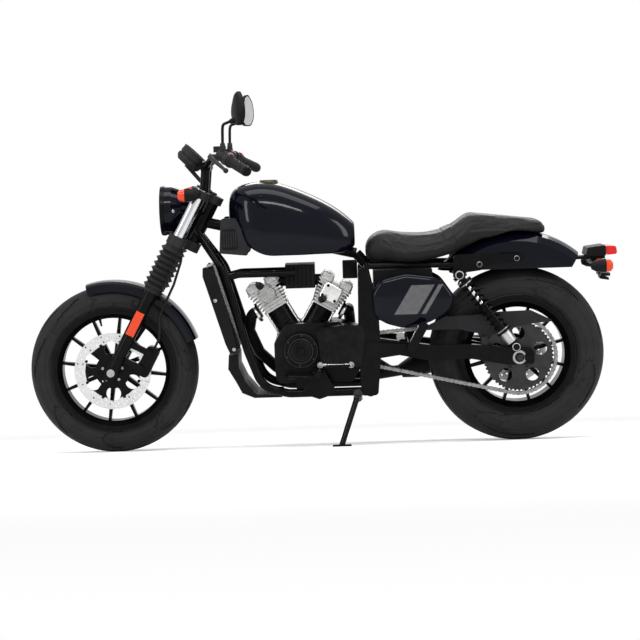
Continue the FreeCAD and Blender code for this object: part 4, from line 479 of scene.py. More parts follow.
def mend(piece, gap=0.000002):
    """Joins doubled corners and points the faces outwards."""
    edit(piece, "VERT")
    bpy.ops.mesh.select_all(action="SELECT")
    bpy.ops.mesh.remove_doubles(threshold=gap)
    bpy.ops.mesh.normals_make_consistent(inside=False)
    bpy.ops.object.mode_set(mode="OBJECT")


def turned(points, centre, axis, steps, closed=False):
    """Spins a line of edges all the way round an axis."""
    piece = line_of(list(points) + ([points[0]] if closed else []))
    bpy.ops.mesh.select_all(action="SELECT")
    bpy.ops.mesh.spin(steps=steps, angle=math.tau, center=centre, axis=axis)
    mend(piece)
    return piece


def plate(points, thickness):
    """A filled outline, extruded by a vector."""
    piece = line_of(points, closed=True)
    bpy.ops.mesh.extrude_region_move(TRANSFORM_OT_translate={"value": thickness})
    mend(piece)
    return piece


def rounded(piece, width, segments=2):
    """Rounds every edge that is sharper than 30 degrees."""
    bevel = piece.modifiers.new("bevel", "BEVEL")
    bevel.width = width
    bevel.segments = segments
    bevel.angle_limit = math.radians(30)
    apply_all(piece)
    return piece


def tube(points, radius):
    """A bent bar: a smooth curve near the points, given a round section and made a mesh."""
    line = bpy.data.curves.new("bar line", "CURVE")
    line.dimensions = "3D"
    line.bevel_depth = radius
    line.bevel_resolution = 3
    line.resolution_u = 6
    line.use_fill_caps = True
    run = line.splines.new("NURBS")
    run.points.add(len(points) - 1)
    for spot, point in zip(run.points, points):
        spot.co = (*point, 1)
    run.order_u = 3
    run.use_endpoint_u = True
    bar = bpy.data.objects.new("bar", line)
    bpy.context.collection.objects.link(bar)
    hold(bar)
    bpy.ops.object.convert(target="MESH")
    mend(bpy.context.object)
    return bpy.context.object


print("shape helpers ready")


# %% Copies and settling
def copy_of(piece, move):
    """A copy with its own mesh and its place in it, moved by a matrix."""
    twin = piece.copy()
    twin.data = piece.data.copy()
    twin.data.transform(move @ piece.matrix_world)
    twin.matrix_world = Matrix.Identity(4)
    bpy.context.collection.objects.link(twin)
    return twin


def joined(parts):
    let_go()
    for part in parts:
        part.select_set(True)
    bpy.context.view_layer.objects.active = parts[0]
    if len(parts) > 1:
        bpy.ops.object.join()
    return parts[0]


def discard(*patterns):
    for pattern in patterns:
        bpy.data.objects.remove(pattern)


def baked_place(piece, move=None):
    """Puts the object's place into its mesh, which may then be moved by a matrix."""
    piece.data.transform(piece.matrix_world)
    piece.matrix_world = Matrix.Identity(4)
    if move is not None:
        piece.data.transform(move)
    return piece


def settle(piece, name, body, finish, smooth=35):
    """Ends a piece that was drawn upright: its place, shading, finish and the body it rides on."""
    hold(piece)
    baked_place(piece, parked)
    piece.name = name
    piece.data.name = name
    piece.data.materials.clear()
    piece.data.materials.append(finishes[finish])
    bpy.ops.object.shade_smooth_by_angle(angle=math.radians(smooth))
    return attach(piece, body)


def copy_of_node(node_name, gap=0.00001):
    """A welded copy of a CAD piece, to be worked on further."""
    twin = copy_of(nodes[node_name], Matrix.Identity(4))
    for key in list(twin.keys()):
        del twin[key]
    twin.parent = None
    mend(twin, gap)
    return twin


print("copy helpers ready")

# %% [markdown]
# ## Tyres
# A road tyre is a lathe shape with slanted grooves cut into its shoulders. If the section that is
# spun is itself a slanted line, each place further round than the last, all columns of faces run at
# a slant too, and a groove is simply a few neighbouring faces pushed in. The sidewall has fine
# raised rings, which are points of the section.

# %% Tyre section
RING_RISE = 0.0009
TREAD_SLANT = 0.26
BEAD_STEP = 0.0053
BEAD_LIP = 0.015
GROOVE_DEPTH = 0.0042
PITCHES, COLUMNS = 24, 12
CROWN_ANGLES = (0, 3, 8, 15, 22, 29, 36, 43, 49, 55, 60, 64, 68)
BAND = ((69, -0.001), (74, -0.001), (75, 0), (84, 0), (90, 0))
WALL = ((9, 0), (10, 1), (13, 1), (14, 0), (24, 0), (38, 0), (39, 1), (42, 1), (43, 0), (56, 0), (57, 1), (60, 1),
        (61, 0), (76, 0), (90, 0))


def tyre_section(outer_r, width, bead_r, rim_w):
    """Half of the section as pairs of radius and distance from the middle, crown first."""
    half = width / 2
    wall = outer_r - bead_r
    belly = wall * 0.52
    seat_half = rim_w / 2 - BEAD_STEP
    points = []
    for angle, rise in [(angle, 0.0) for angle in CROWN_ANGLES] + list(BAND):
        turn = math.radians(angle)
        points.append((outer_r - belly * (1 - math.cos(turn)) + rise * 0.3, half * math.sin(turn) + rise))
    low = bead_r + BEAD_LIP
    drop = (outer_r - belly) - low
    for angle, ring in WALL:
        turn = math.radians(angle)
        out = seat_half + (half - seat_half) * math.cos(turn)
        points.append((low + drop * (1 - math.sin(turn)), out + ring * RING_RISE))
    points.append((bead_r + 0.0006, seat_half))
    return points


print("points in half a section:", len(tyre_section(0.299, 0.12, 0.204, 0.092)))


# %% Tyre builder
def tyre(name, node_name, body, axle, sizes):
    """Spins the slanted section, then pushes the grooves in."""
    outer_r, width = sizes[:2]
    half = width / 2

    def slanted(radius, side):
        turn = TREAD_SLANT * min(abs(side) / half, 1.0)
        return (axle.x + radius * math.sin(turn), side, axle.z + radius * math.cos(turn))

    side = tyre_section(*sizes)
    points = [slanted(radius, -out) for radius, out in reversed(side)] + [slanted(*pair) for pair in side[1:]]
    piece = turned(points, axle, RIGHT, PITCHES * COLUMNS)

    def groove(face):
        """Long grooves from the middle outwards, and short ones between them at the shoulder."""
        middle = face.calc_center_median()
        out = abs(middle.y) / half
        turn = math.atan2(middle.x - axle.x, middle.z - axle.z) - TREAD_SLANT * min(out, 1.0)
        column = math.floor(turn / math.tau * PITCHES * COLUMNS + 0.5) % COLUMNS
        if math.hypot(middle.x - axle.x, middle.z - axle.z) < outer_r * 0.87:
            return False
        near_side = middle.y < 0
        if column in ((0, 1) if near_side else (6, 7)):
            return 0.1 < out < 0.93
        return column == (6 if near_side else 0) and 0.42 < out < 0.985

    edit(piece)
    count = pick(piece, groove)
    bpy.ops.mesh.extrude_region_shrink_fatten(TRANSFORM_OT_shrink_fatten={"value": -GROOVE_DEPTH})
    bpy.ops.object.mode_set(mode="OBJECT")
    print(name, "groove faces:", count, "faces:", len(piece.data.polygons))
    settle(piece, name, body, "tyre", smooth=40)
    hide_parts(node_name)


tyre("front_tyre_tread", "front_tyre", "front_wheel", front_axle, (0.299, 0.120, 0.204, 0.092))
tyre("rear_tyre_tread", "rear_tyre", "rear_wheel", rear_axle, (0.3105, 0.150, 0.1915, 0.112))
print("tyres ready")

# %% [markdown]
# ## Brake discs
# Both discs are flat steel rings that are held by a black carrier. The front ring is drilled in three
# rows and the rear one in two, each row shifted against the next. A boolean is right for this, as the
# holes are the one thing that a drill makes. The copy of the CAD disc is welded first, so that the
# boolean finds a closed body.

# %% Drilled disc
DRILL_R = 0.0031


def drilled_disc(name, node_name, body, axle, y, rows, count, carrier_r):
    """Drills rows of (radius, shift of the first hole) and paints the carrier inside a radius."""
    piece = copy_of_node(node_name)
    baked_place(piece, parked.inverted())
    let_go()
    bpy.ops.mesh.primitive_cylinder_add(vertices=12, radius=DRILL_R, depth=0.02, location=(0, 0, 0),
                                        rotation=(math.pi / 2, 0, 0))
    drill = baked_place(bpy.context.object)
    cutters = []
    for radius, shift in rows:
        for spot in circle_of((axle.x, y, axle.z), radius, count, 360 * shift / count):
            cutters.append(copy_of(drill, Matrix.Translation(spot)))
    discard(drill)
    cutter = joined(cutters)
    holes = piece.modifiers.new("holes", "BOOLEAN")
    holes.object = cutter
    holes.operation = "DIFFERENCE"
    apply_all(piece)
    discard(cutter)
    settle(piece, name, body, "disc_steel", smooth=30)
    piece.data.materials.append(finishes["wheel_black"])
    centre = parked @ Vector((axle.x, y, axle.z))
    for face in piece.data.polygons:
        if (face.center - centre).length < carrier_r:
            face.material_index = 1
    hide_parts(node_name)
    print(name, "holes:", len(rows) * count, "faces:", len(piece.data.polygons))


drilled_disc("front_disc_drilled", "front_disc", "front_wheel", front_axle, -0.072,
             ((0.1075, 0.0), (0.117, 0.5), (0.1265, 0.1)), 24, 0.0985)
drilled_disc("rear_disc_drilled", "rear_disc", "rear_wheel", rear_axle, 0.084, ((0.089, 0.0), (0.099, 0.5)), 20,
             0.078)
print("discs ready")

# %% [markdown]
# ## Chain
# A roller chain is two kinds of link in turn: narrow ones that hold the rollers, and wide ones that
# hold the pins. Both are one waisted plate outline, so a plate is drawn once as a filled outline and
# extruded. The path is two circles and their outer tangents, and the links are spaced evenly along
# it by its length, which a real chain's tension does.

# %% Chain path
chain_y = -0.092
front_teeth, rear_teeth = 16, 52
pitch = 0.015875
front_pitch_r = pitch / (2 * math.sin(math.pi / front_teeth))
rear_pitch_r = pitch / (2 * math.sin(math.pi / rear_teeth))
drive_centre = Vector((0.820, 0, 0.359))
drive_line = rear_axle - drive_centre
heading = math.atan2(drive_line.z, drive_line.x)
spread = math.acos((front_pitch_r - rear_pitch_r) / drive_line.length)
straight = math.sqrt(drive_line.length ** 2 - (rear_pitch_r - front_pitch_r) ** 2)
rear_wrap = 2 * spread * rear_pitch_r
front_wrap = (math.tau - 2 * spread) * front_pitch_r
chain_length = 2 * straight + rear_wrap + front_wrap
link_count = 2 * round(chain_length / pitch / 2)


def on_chain(along):
    """Place on the loop, a length along it from the top of the front sprocket."""
    along %= chain_length
    top, low = heading + spread, heading - spread
    if along < straight:
        share = along / straight
        return around(drive_centre, front_pitch_r, top).lerp(around(rear_axle, rear_pitch_r, top), share)
    along -= straight
    if along < rear_wrap:
        return around(rear_axle, rear_pitch_r, top - along / rear_pitch_r)
    along -= rear_wrap
    if along < straight:
        share = along / straight
        return around(rear_axle, rear_pitch_r, low).lerp(around(drive_centre, front_pitch_r, low), share)
    return around(drive_centre, front_pitch_r, low - (along - straight) / front_pitch_r)


print("links:", link_count, "spacing in mm:", round(chain_length / link_count * 1000, 3))

# %% One link of each kind
plate_r = 0.0072
plate_waist = 0.0052
plate_t = 0.0018


def link(plate_y, barrel_r, barrel_y):
    """Two waisted plates and the two barrels between them, round the first pin at the origin."""
    outline = []
    for centre, first, side in ((pitch, -75, 1), (0, 105, -1)):
        outline += [(centre + plate_r * math.cos(math.radians(first + step)), 0,
                     plate_r * math.sin(math.radians(first + step))) for step in (0, 37, 75, 113, 150)]
        outline.append((pitch / 2, 0, side * plate_waist))
    parts = []
    for side in (-1, 1):
        piece = plate([(x, side * plate_y - plate_t / 2, z) for x, y, z in outline], RIGHT * plate_t)
        parts.append(rounded(piece, 0.0004, 1))
    for x in (0, pitch):
        bpy.ops.mesh.primitive_cylinder_add(vertices=10, radius=barrel_r, depth=barrel_y * 2, location=(x, 0, 0),
                                            rotation=(math.pi / 2, 0, 0))
        parts.append(baked_place(bpy.context.object))
    return joined(parts)


roller_link = link(0.0050, 0.0050, 0.0041)
pin_link = link(0.0072, 0.0026, 0.0086)
print("faces in both links:", len(roller_link.data.polygons), len(pin_link.data.polygons))

# %% Lay the chain
links = []
for index in range(link_count):
    start = on_chain(index * chain_length / link_count)
    end = on_chain((index + 1) * chain_length / link_count)
    step = end - start
    turn = Matrix.Rotation(-math.atan2(step.z, step.x), 4, "Y")
    lay = Matrix.Translation(start + RIGHT * chain_y) @ turn
    links.append(copy_of(roller_link if index % 2 else pin_link, lay))
discard(roller_link, pin_link)
chain = settle(joined(links), "chain_links", "chassis", "chain_steel", smooth=30)
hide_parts("chain")
print("chain faces:", len(chain.data.polygons))

# %% [markdown]
# ## Seat
# The seat is foam under a black vinyl cover, pulled tight over a stepped pan: a broad dished place
# for the rider, a step, and a narrower pad behind. A cover is cloth, so its swell is simulated: a
# remeshed copy of the plain CAD seat is inflated a little, held at its lower edge where it is tacked
# to the pan.

# %% Seat cover
seat_voxel = 0.006
seat_swell = 0.006
seat = copy_of_node("seat", 0.0001)
seat.modifiers.new("remesh", "REMESH").voxel_size = seat_voxel
seat.modifiers["remesh"].mode = "VOXEL"
smooth = seat.modifiers.new("smooth", "CORRECTIVE_SMOOTH")
smooth.iterations = 8
smooth.use_only_smooth = True
apply_all(seat)
baked_place(seat, parked.inverted())
before = [corner.co.copy() for corner in seat.data.vertices]
held = seat.vertex_groups.new(name="tacked edge")
for corner in seat.data.vertices:
    facing = corner.normal.z
    weight = 1.0 if facing < -0.35 else max(0.0, min(1.0, (0.1 - facing) / 0.45))
    held.add([corner.index], weight, "REPLACE")
cover = seat.modifiers.new("cover", "CLOTH")
cover.settings.use_pressure = True
cover.settings.uniform_pressure_force = 4
cover.settings.vertex_group_mass = "tacked edge"
cover.settings.tension_stiffness = 40
cover.settings.compression_stiffness = 40
cover.settings.effector_weights.gravity = 0
for step in range(1, 16):
    bpy.context.scene.frame_set(step)
apply_all(seat)
bpy.context.scene.frame_set(1)
farthest = 0.0
for corner, start in zip(seat.data.vertices, before):
    moved = corner.co - start
    if moved.length > seat_swell:
        corner.co = start + moved.normalized() * seat_swell
    farthest = max(farthest, (corner.co - start).length)
print("seat corners:", len(seat.data.vertices), "moved at most in mm:", round(farthest * 1000, 1))

# %% Seat seams
seam_depth = 0.0022
seam_half = 0.005
strap_half = 0.021
pad_from, pad_to = 1.285, 1.495
level_from, level_over = 0.735, 0.055
strap_x, strap_z, strap_slant = 1.186, 0.775, 0.29
dish_from = 0.96


def from_strap(place):
    """Signed distance along the seat from the middle of the strap, which slants back at its ends."""
    return place.x - (strap_x + (strap_z - place.z) * strap_slant)


def top_at(x):
    """Height of the seat's top in its middle plane."""
    return seat_skin.ray_cast(Vector((x, 0, 1.2)), Vector((0, 0, -1)))[0].z


def pillion_lift(place):
    """The plain solid waves a little behind its step, and foam doesn't: this levels its top."""
    if not pad_from < place.x < pad_to:
        return 0.0
    share = (place.x - pad_from) / (pad_to - pad_from)
    level = pad_start * (1 - share) + pad_end * share
    return (level - top_at(place.x)) * max(0.0, min(1.0, (place.z - level_from) / level_over))


finer = seat.modifiers.new("finer", "SUBSURF")
finer.levels = finer.render_levels = 1
apply_all(seat)
seat_skin = BVHTree.FromPolygons([corner.co.copy() for corner in seat.data.vertices],
                                 [list(face.vertices) for face in seat.data.polygons])
pad_start, pad_end = top_at(pad_from), top_at(pad_to)


def groove_at(distance):
    """Depth of a sewn seam at a distance from its line: a soft notch."""
    if distance > seam_half * 2:
        return 0.0
    return seam_depth * math.exp(-(distance / seam_half * 1.6) ** 2)


facings = [corner.normal.copy() for corner in seat.data.vertices]
for corner, facing in zip(seat.data.vertices, facings):
    place = corner.co.copy()
    if facing.z < -0.3:
        continue
    along = from_strap(place)
    depth = max(groove_at(abs(along - strap_half)), groove_at(abs(along + strap_half)))
    if along > strap_half:
        depth = max(depth, groove_at(abs(facing.z - 0.55) * 0.03))
    elif place.x > dish_from:
        depth = max(depth, groove_at(abs(facing.z - 0.42) * 0.035))
    swell = 0.0016 if abs(along) < strap_half - seam_half * 0.5 else 0.0
    corner.co = place + facing * (swell - depth)
    corner.co.z += pillion_lift(place)
seat.vertex_groups.clear()
settle(seat, "seat_cover", "chassis", "seat_vinyl", smooth=60)
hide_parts("seat")
print("seat cover faces:", len(seat.data.polygons))

# %% [markdown]
# ## Tank
# Gloss paint shows every facet of the plain tank as a step in its reflections. A pressed steel tank
# has none, so a remeshed and smoothed copy of it takes its place. Most of it stays within a fraction
# of a millimetre, and only its sharpest corners move, by up to 4 mm.

# %% Tank skin
tank = copy_of_node("fuel_tank", 0.0001)
tank.modifiers.new("remesh", "REMESH").mode = "VOXEL"
tank.modifiers["remesh"].voxel_size = 0.0035
even = tank.modifiers.new("even", "SMOOTH")
even.factor, even.iterations = 0.5, 14
apply_all(tank)
tank = settle(baked_place(tank, parked.inverted()), "tank_skin", "chassis", "paint", smooth=60)
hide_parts("fuel_tank")
print("tank faces:", len(tank.data.polygons))

# %% [markdown]
# ## Small metal pieces
# A machine looks real through its fasteners, so two bolts are modelled once at a radius of one unit:
# a hexagon head on a washer, and a round socket head. Each copy is scaled and turned to its place.
# Turned trim, such as rings, caps and washers, is drawn as a profile of length and radius.

# %% Turned trim
def facing(centre, direction, size=1.0):
    """A matrix that puts a piece drawn along z at a place and along a direction."""
    turn = Vector(direction).to_track_quat("Z", "Y").to_matrix().to_4x4()
    return Matrix.Translation(Vector(centre)) @ turn @ Matrix.Scale(size, 4)


def lathe(profile, centre, direction, steps=48, closed=False):
    """Spins pairs of length and radius, and lays the result along a direction."""
    piece = turned([(radius, 0, along) for along, radius in profile], (0, 0, 0), UP, steps, closed)
    return baked_place(piece, facing(centre, direction))


def soft_outline(points, bend, steps=4):
    """Pairs with each corner rounded by a short run of points."""
    soft = []
    for index, corner in enumerate(points):
        corner = Vector(corner)
        before = Vector(points[index - 1]) - corner
        after = Vector(points[(index + 1) % len(points)]) - corner
        start = corner + before.normalized() * min(bend, before.length * 0.45)
        end = corner + after.normalized() * min(bend, after.length * 0.45)
        for step in range(steps + 1):
            share = step / steps
            soft.append(start.lerp(corner, share).lerp(corner.lerp(end, share), share))
    return soft


def soft_box(left, low, right, high, bend, steps):
    """A rectangle with rounded corners, as pairs."""
    return soft_outline([(left, low), (right, low), (right, high), (left, high)], bend, steps)


print("turned trim ready")


# %% Two bolts
def inset_end(piece, test, amount, depth):
    """Insets the chosen end face and pushes it along its normal."""
    edit(piece)
    pick(piece, test)
    bpy.ops.mesh.inset(thickness=amount, depth=depth)
    bpy.ops.object.mode_set(mode="OBJECT")
    return piece


def domed(piece, test, centre, flat, steps):
    """Raises an end face in rings: each is extruded and drawn in to a centre along the flat axes."""
    for shrink, lift in steps:
        edit(piece)
        pick(piece, test)
        bpy.ops.mesh.extrude_region_shrink_fatten(TRANSFORM_OT_shrink_fatten={"value": lift})
        bpy.ops.transform.resize(value=[shrink if axis else 1 for axis in flat], center_override=centre)
        bpy.ops.object.mode_set(mode="OBJECT")
    return piece


def top_face(face):
    return face.normal.z > 0.9


let_go()
bpy.ops.mesh.primitive_cylinder_add(vertices=6, radius=1, depth=0.8, location=(0, 0, 0.55))
hexagon = inset_end(baked_place(bpy.context.object), top_face, 0.14, 0.08)
washer_part = lathe(((0, 0), (0, 1.35), (0.12, 1.35), (0.2, 1.25), (0.2, 0)), (0, 0, 0), UP, 20)
hexagon = joined([hexagon, washer_part])
let_go()
bpy.ops.mesh.primitive_cylinder_add(vertices=18, radius=1, depth=0.9, location=(0, 0, 0.45))
socket = inset_end(baked_place(bpy.context.object), top_face, 0.12, 0.08)
inset_end(socket, top_face, 0.3, -0.01)
inset_end(socket, lambda face: top_face(face) and face.calc_area() > 0.4, 0.02, -0.45)
mend(hexagon)
mend(socket)
print("faces of the two bolts:", len(hexagon.data.polygons), len(socket.data.polygons))


def bolts(name, body, finish, pattern, places, both_sides=False):
    """Copies of a bolt at (place, direction, radius), and mirrored to the right if asked."""
    copies = []
    for place, direction, radius in places:
        copies.append(copy_of(pattern, facing(place, direction, radius)))
        if both_sides:
            across = Vector((1, -1, 1))
            mirrored = facing(Vector(place) * across, Vector(direction) * across, radius)
            copies.append(copy_of(pattern, mirrored))
    return settle(joined(copies), name, body, finish, smooth=30)


def opposite(piece):
    """A mirrored copy for the right side, with its faces turned out again."""
    twin = copy_of(piece, Matrix.Scale(-1, 4, RIGHT))
    mend(twin)
    return twin


def both(piece):
    """The piece and its mirrored copy in one."""
    return joined([piece, opposite(piece)])


print("bolt helpers ready")

# %% [markdown]
# ## Mirrors
# The mirrors are pointed drops on cranked stems: a domed black shell, a thin rim and a flat glass.
# Both are turned a little inwards to the rider, so from the side one sees the back of the near one
# and the glass of the far one. The shell starts as the outline, and its front face is raised in
# rings that are drawn in more and more, so that the dome is rounder at its edge than in its middle.

# %% Mirror shells and glass
mirror_turn = Matrix.Translation((0.483, -0.2712, 1.1966)) @ Matrix.Rotation(math.radians(24), 4, "Z")
drop = ((-0.50, 0.02), (-0.40, 0.32), (-0.10, 0.56), (0.10, 0.52), (0.40, 0.12), (0.46, -0.20), (0.22, -0.44),
        (-0.22, -0.44), (-0.47, -0.22))


def mirror_outline(share, x):
    soft = soft_outline([(0.104 * a * share, 0.116 * b * share) for a, b in drop], 0.013, 4)
    return [(x, a, b) for a, b in soft]


def broad(face):
    return face.calc_area() > 0.001


shell = plate(mirror_outline(1.0, 0.011), Vector((-0.009, 0, 0)))
domed(shell, lambda face: face.normal.x < -0.99 and broad(face), (-0.006, 0, 0.002), (0, 1, 1),
      ((0.96, 0.004), (0.9, 0.004), (0.8, 0.0035), (0.66, 0.003)))
domed(shell, lambda face: face.normal.x > 0.99 and broad(face), (0.011, 0, 0), (0, 1, 1),
      ((0.94, 0.0004), (0.99, -0.0012)))
baked_place(shell, mirror_turn)
glass = plate(mirror_outline(0.925, 0.0108), Vector((-0.003, 0, 0)))
baked_place(rounded(glass, 0.0006, 1), mirror_turn)
stem_foot = Vector((0.4262, -0.2092, 1.0574))
stem = tube([stem_foot + Vector(place) for place in (
    (0, 0, 0), (0.001, 0, 0.045), (0.002, -0.002, 0.082), (0.006, -0.010, 0.094), (0.020, -0.030, 0.098),
    (0.047, -0.056, 0.108))], 0.0052)
boot = lathe(((-0.004, 0), (-0.004, 0.0115), (0.004, 0.0115), (0.010, 0.0100), (0.028, 0.0086), (0.030, 0.0072),
              (0.030, 0)), stem_foot, (0.02, 0, 1), 28)
joint = lathe(((-0.012, 0), (-0.012, 0.0062), (-0.004, 0.0095), (0.006, 0.0095), (0.012, 0.0070), (0.012, 0)),
              stem_foot + Vector((0.040, -0.050, 0.104)), Vector((0.8, -0.6, 0.25)).normalized(), 28)
shells = joined([part for side in (shell, stem, joint) for part in (side, opposite(side))])
shells = settle(shells, "mirror_shells", "steering", "black_plastic", smooth=50)
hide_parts("mirrors")
settle(both(boot), "mirror_boots", "steering", "grey_plastic", smooth=40)
settle(both(glass), "mirror_glass", "steering", "chrome", smooth=30)
print("mirrors ready")

# %% [markdown]
# ## Bar, grips and switches
# Grips are soft rubber with raised rings, so that a hand doesn't slip. Their profile has one step
# for each ring and is spun round the bar's own line, which slopes back and down to the bar's end.

# %% Grips
bar_end = Vector((0.512, -0.370, 0.992))
bar_line = (Vector((0.433, -0.222, 1.038)) - bar_end).normalized()
grip_profile = [(-0.001, 0.0112), (-0.001, 0.0172), (0.004, 0.0178), (0.008, 0.0178)]
for ring in range(17):
    start = 0.010 + ring * 0.0058
    grip_profile += [(start, 0.0162), (start + 0.0018, 0.0162), (start + 0.0024, 0.0176), (start + 0.0052, 0.0176)]
grip_profile += [(0.1105, 0.0165), (0.113, 0.0205), (0.117, 0.0214), (0.1205, 0.0205), (0.1205, 0.0112)]
grip = lathe(grip_profile, bar_end, bar_line, 40, closed=True)
grips = settle(both(grip), "grip_rubbers", "steering", "rubber", smooth=25)
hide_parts("grips")
weight_profile = ((0.0, 0.0), (0.0, 0.006), (0.002, 0.0142), (0.005, 0.016), (0.0115, 0.016), (0.0115, 0))
weight = lathe(weight_profile, bar_end - bar_line * 0.0125, bar_line, 32)
settle(both(weight), "bar_ends", "steering", "frame_black", smooth=30)
print("grips ready")

# %% Switches and clamps
def on_bar(back):
    return bar_end + bar_line * back


bar_up = (UP - bar_line * bar_line.z).normalized()
bar_rear = bar_line.cross(bar_up).normalized()
if bar_rear.x < 0:
    bar_rear = -bar_rear
seam = lathe(((0, 0.0216), (0, 0.0228), (0.003, 0.0231), (0.006, 0.0228), (0.006, 0.0216)), on_bar(0.122), bar_line,
             40, closed=True)
collar = lathe(((0, 0.0215), (0, 0.0232), (0.0022, 0.0235), (0.0044, 0.0232), (0.0044, 0.0215)), on_bar(0.1585),
               bar_line, 40, closed=True)
settle(joined([seam, collar, opposite(seam), opposite(collar)]), "switch_rings", "steering", "grey_plastic")


def button(back, lift, aside, size, thick):
    """A rounded key that stands on the housing towards the rider."""
    half_l, half_h = size[0] / 2, size[1] / 2
    out = (bar_rear * math.cos(lift) + bar_up * math.sin(lift)).normalized()
    up = bar_line.cross(out).normalized()
    corners = soft_box(-half_l, -half_h, half_l, half_h, half_h * 0.6, 3)
    base = on_bar(back) + out * 0.0205 + up * aside
    key = plate([base + bar_line * a + up * b for a, b in corners], out * thick)
    return rounded(key, 0.0007)


keys = [button(0.133, 0.5, 0.004, (0.010, 0.007), 0.005), button(0.149, 0.2, -0.003, (0.012, 0.008), 0.0045)]
settle(joined(keys + [opposite(keys[1])]), "switch_keys", "steering", "grey_plastic", smooth=30)
settle(button(0.141, 1.15, 0.0, (0.014, 0.008), 0.005), "turn_signal_key", "steering", "amber_lens", smooth=30)
stop = button(0.137, 1.0, 0.0, (0.015, 0.010), 0.006)
settle(opposite(stop), "stop_key", "steering", "red_lens", smooth=30)
discard(stop)
perch = on_bar(0.189)
bolts("perch_bolts", "steering", "steel", socket,
      [(perch + bar_up * 0.0085 + bar_rear * 0.0185, bar_rear, 0.003),
       (perch - bar_up * 0.0085 + bar_rear * 0.0185, bar_rear, 0.003),
       (perch + Vector((-0.044, 0, 0.0085)), UP, 0.0042)], both_sides=True)
riser_bolts = [((0.354 + dx, side * 0.048 + dy, 1.004 + 0.0188), UP, 0.0042)
               for side in (-1, 1) for dx in (-0.0055, 0.0055) for dy in (-0.009, 0.009)]
bolts("riser_bolts", "steering", "steel", socket, riser_bolts)
print("switches ready")

# %% [markdown]
# ## Instrument and headlight
# The instrument is a round housing under glass. Its face is turned towards the rider and can't be
# seen in the picture, so it gets a plain scale of marks with no numbers. The headlight has a bright
# dish behind its glass, with a capped bulb in the middle, and a slim rim round the mouth.

# %% Instrument face
dial_tilt = math.radians(44)
dial_axis = Vector((math.sin(dial_tilt), 0, math.cos(dial_tilt)))
dial_centre = Vector((0.300, 0, 1.036))
dial_top = dial_centre + dial_axis * 0.0232
dial_across = RIGHT
dial_up = dial_across.cross(dial_axis)
face_plate = lathe(((0, 0), (0, 0.0405), (0.0008, 0.0405), (0.0008, 0.0385), (0.0004, 0.038), (0.0004, 0)), dial_top,
                   dial_axis, 48)
settle(face_plate, "dial_face", "steering", "grey_plastic", smooth=30)
marks = []
for index in range(31):
    turn = math.radians(-135 + index * 9)
    out = dial_up * -math.cos(turn) + dial_across * math.sin(turn)
    side = out.cross(dial_axis)
    length = 0.0065 if index % 5 == 0 else 0.0035
    wide = 0.0006 if index % 5 == 0 else 0.0003
    far, near = dial_top + out * 0.0365, dial_top + out * (0.0365 - length)
    marks.append(plate([far + side * wide, far - side * wide, near - side * wide, near + side * wide],
                       dial_axis * 0.0011))
settle(joined(marks), "dial_marks", "steering", "cast_alloy", smooth=30)
window = soft_box(-0.016, -0.009, 0.016, 0.009, 0.003, 3)
window = plate([dial_top + dial_across * a + dial_up * (b + 0.004) for a, b in window], dial_axis * 0.0013)
settle(rounded(window, 0.0003, 1), "dial_window", "steering", "black_plastic", smooth=30)
bezel = lathe(((0.0, 0.0425), (0.0, 0.0486), (0.003, 0.0492), (0.0055, 0.0478), (0.0055, 0.0432), (0.003, 0.0422)),
              dial_centre + dial_axis * 0.0225, dial_axis, 64, closed=True)
lower_ring = lathe(((0.0, 0.046), (0.0, 0.0484), (0.0045, 0.0492), (0.009, 0.0484), (0.009, 0.046)),
                   dial_centre - dial_axis * 0.0145, dial_axis, 64, closed=True)
settle(joined([bezel, lower_ring]), "instrument_rings", "steering", "grey_plastic", smooth=40)
print("dial marks:", len(marks))

# %% Headlight dish, bulb and rim
lamp_centre = Vector((0.192, 0, 0.856))
dish = lathe(((0.0045, 0.0815), (0.0060, 0.0800), (0.014, 0.0765), (0.026, 0.0690), (0.037, 0.058), (0.046, 0.044),
              (0.052, 0.029), (0.055, 0.014), (0.056, 0.013), (0.054, 0.032), (0.047, 0.047), (0.038, 0.061),
              (0.027, 0.072), (0.014, 0.0795)), lamp_centre, REAR, 72, closed=True)
bulb = lathe(((0.020, 0), (0.0205, 0.006), (0.023, 0.0085), (0.040, 0.0085), (0.041, 0.012), (0.056, 0.012),
              (0.056, 0)), lamp_centre, REAR, 32)
settle(joined([dish, bulb]), "headlight_dish", "steering", "chrome", smooth=40)
rim = lathe(((-0.003, 0.0845), (-0.0035, 0.0872), (0.0, 0.0885), (0.010, 0.0885), (0.013, 0.0868), (0.010, 0.0855),
             (0.0, 0.0855)), lamp_centre, REAR, 96, closed=True)
settle(rim, "headlight_rim", "steering", "frame_black", smooth=40)
bolts("headlight_bolts", "steering", "steel", hexagon, [((0.237, -0.0785, 0.856), LEFT, 0.006)], both_sides=True)
print("headlight ready")

# %% [markdown]
# ## Vent grilles
# The grey covers below the front of the tank have an upright grille. It is a dark plate with rounded
# corners and six rounded bars on it, modelled as one bar that is copied.

# %% Vent grilles
vent_face, bar_step = -0.0970, 0.0083


def slab(points, y, thick):
    """A plate that faces the rider's left, from pairs of x and z at a distance from the middle."""
    return plate([Vector((x, y, z)) for x, z in points], LEFT * thick)


grille = soft_outline([(0.405, 0.716), (0.460, 0.716), (0.456, 0.788), (0.405, 0.788)], 0.010, 4)
grille = rounded(slab(grille, vent_face, 0.0022), 0.0008)
bar = soft_box(0.4095, 0.724, 0.4145, 0.780, 0.0022, 3)
bar = rounded(slab(bar, vent_face - 0.002, 0.0026), 0.0008)
bars = joined([copy_of(bar, Matrix.Translation(REAR * bar_step * place)) for place in range(6)])
discard(bar)
settle(both(grille), "vent_grilles", "chassis", "black_plastic", smooth=30)
settle(both(bars), "vent_bars", "chassis", "grey_plastic", smooth=30)
print("vent grilles ready")

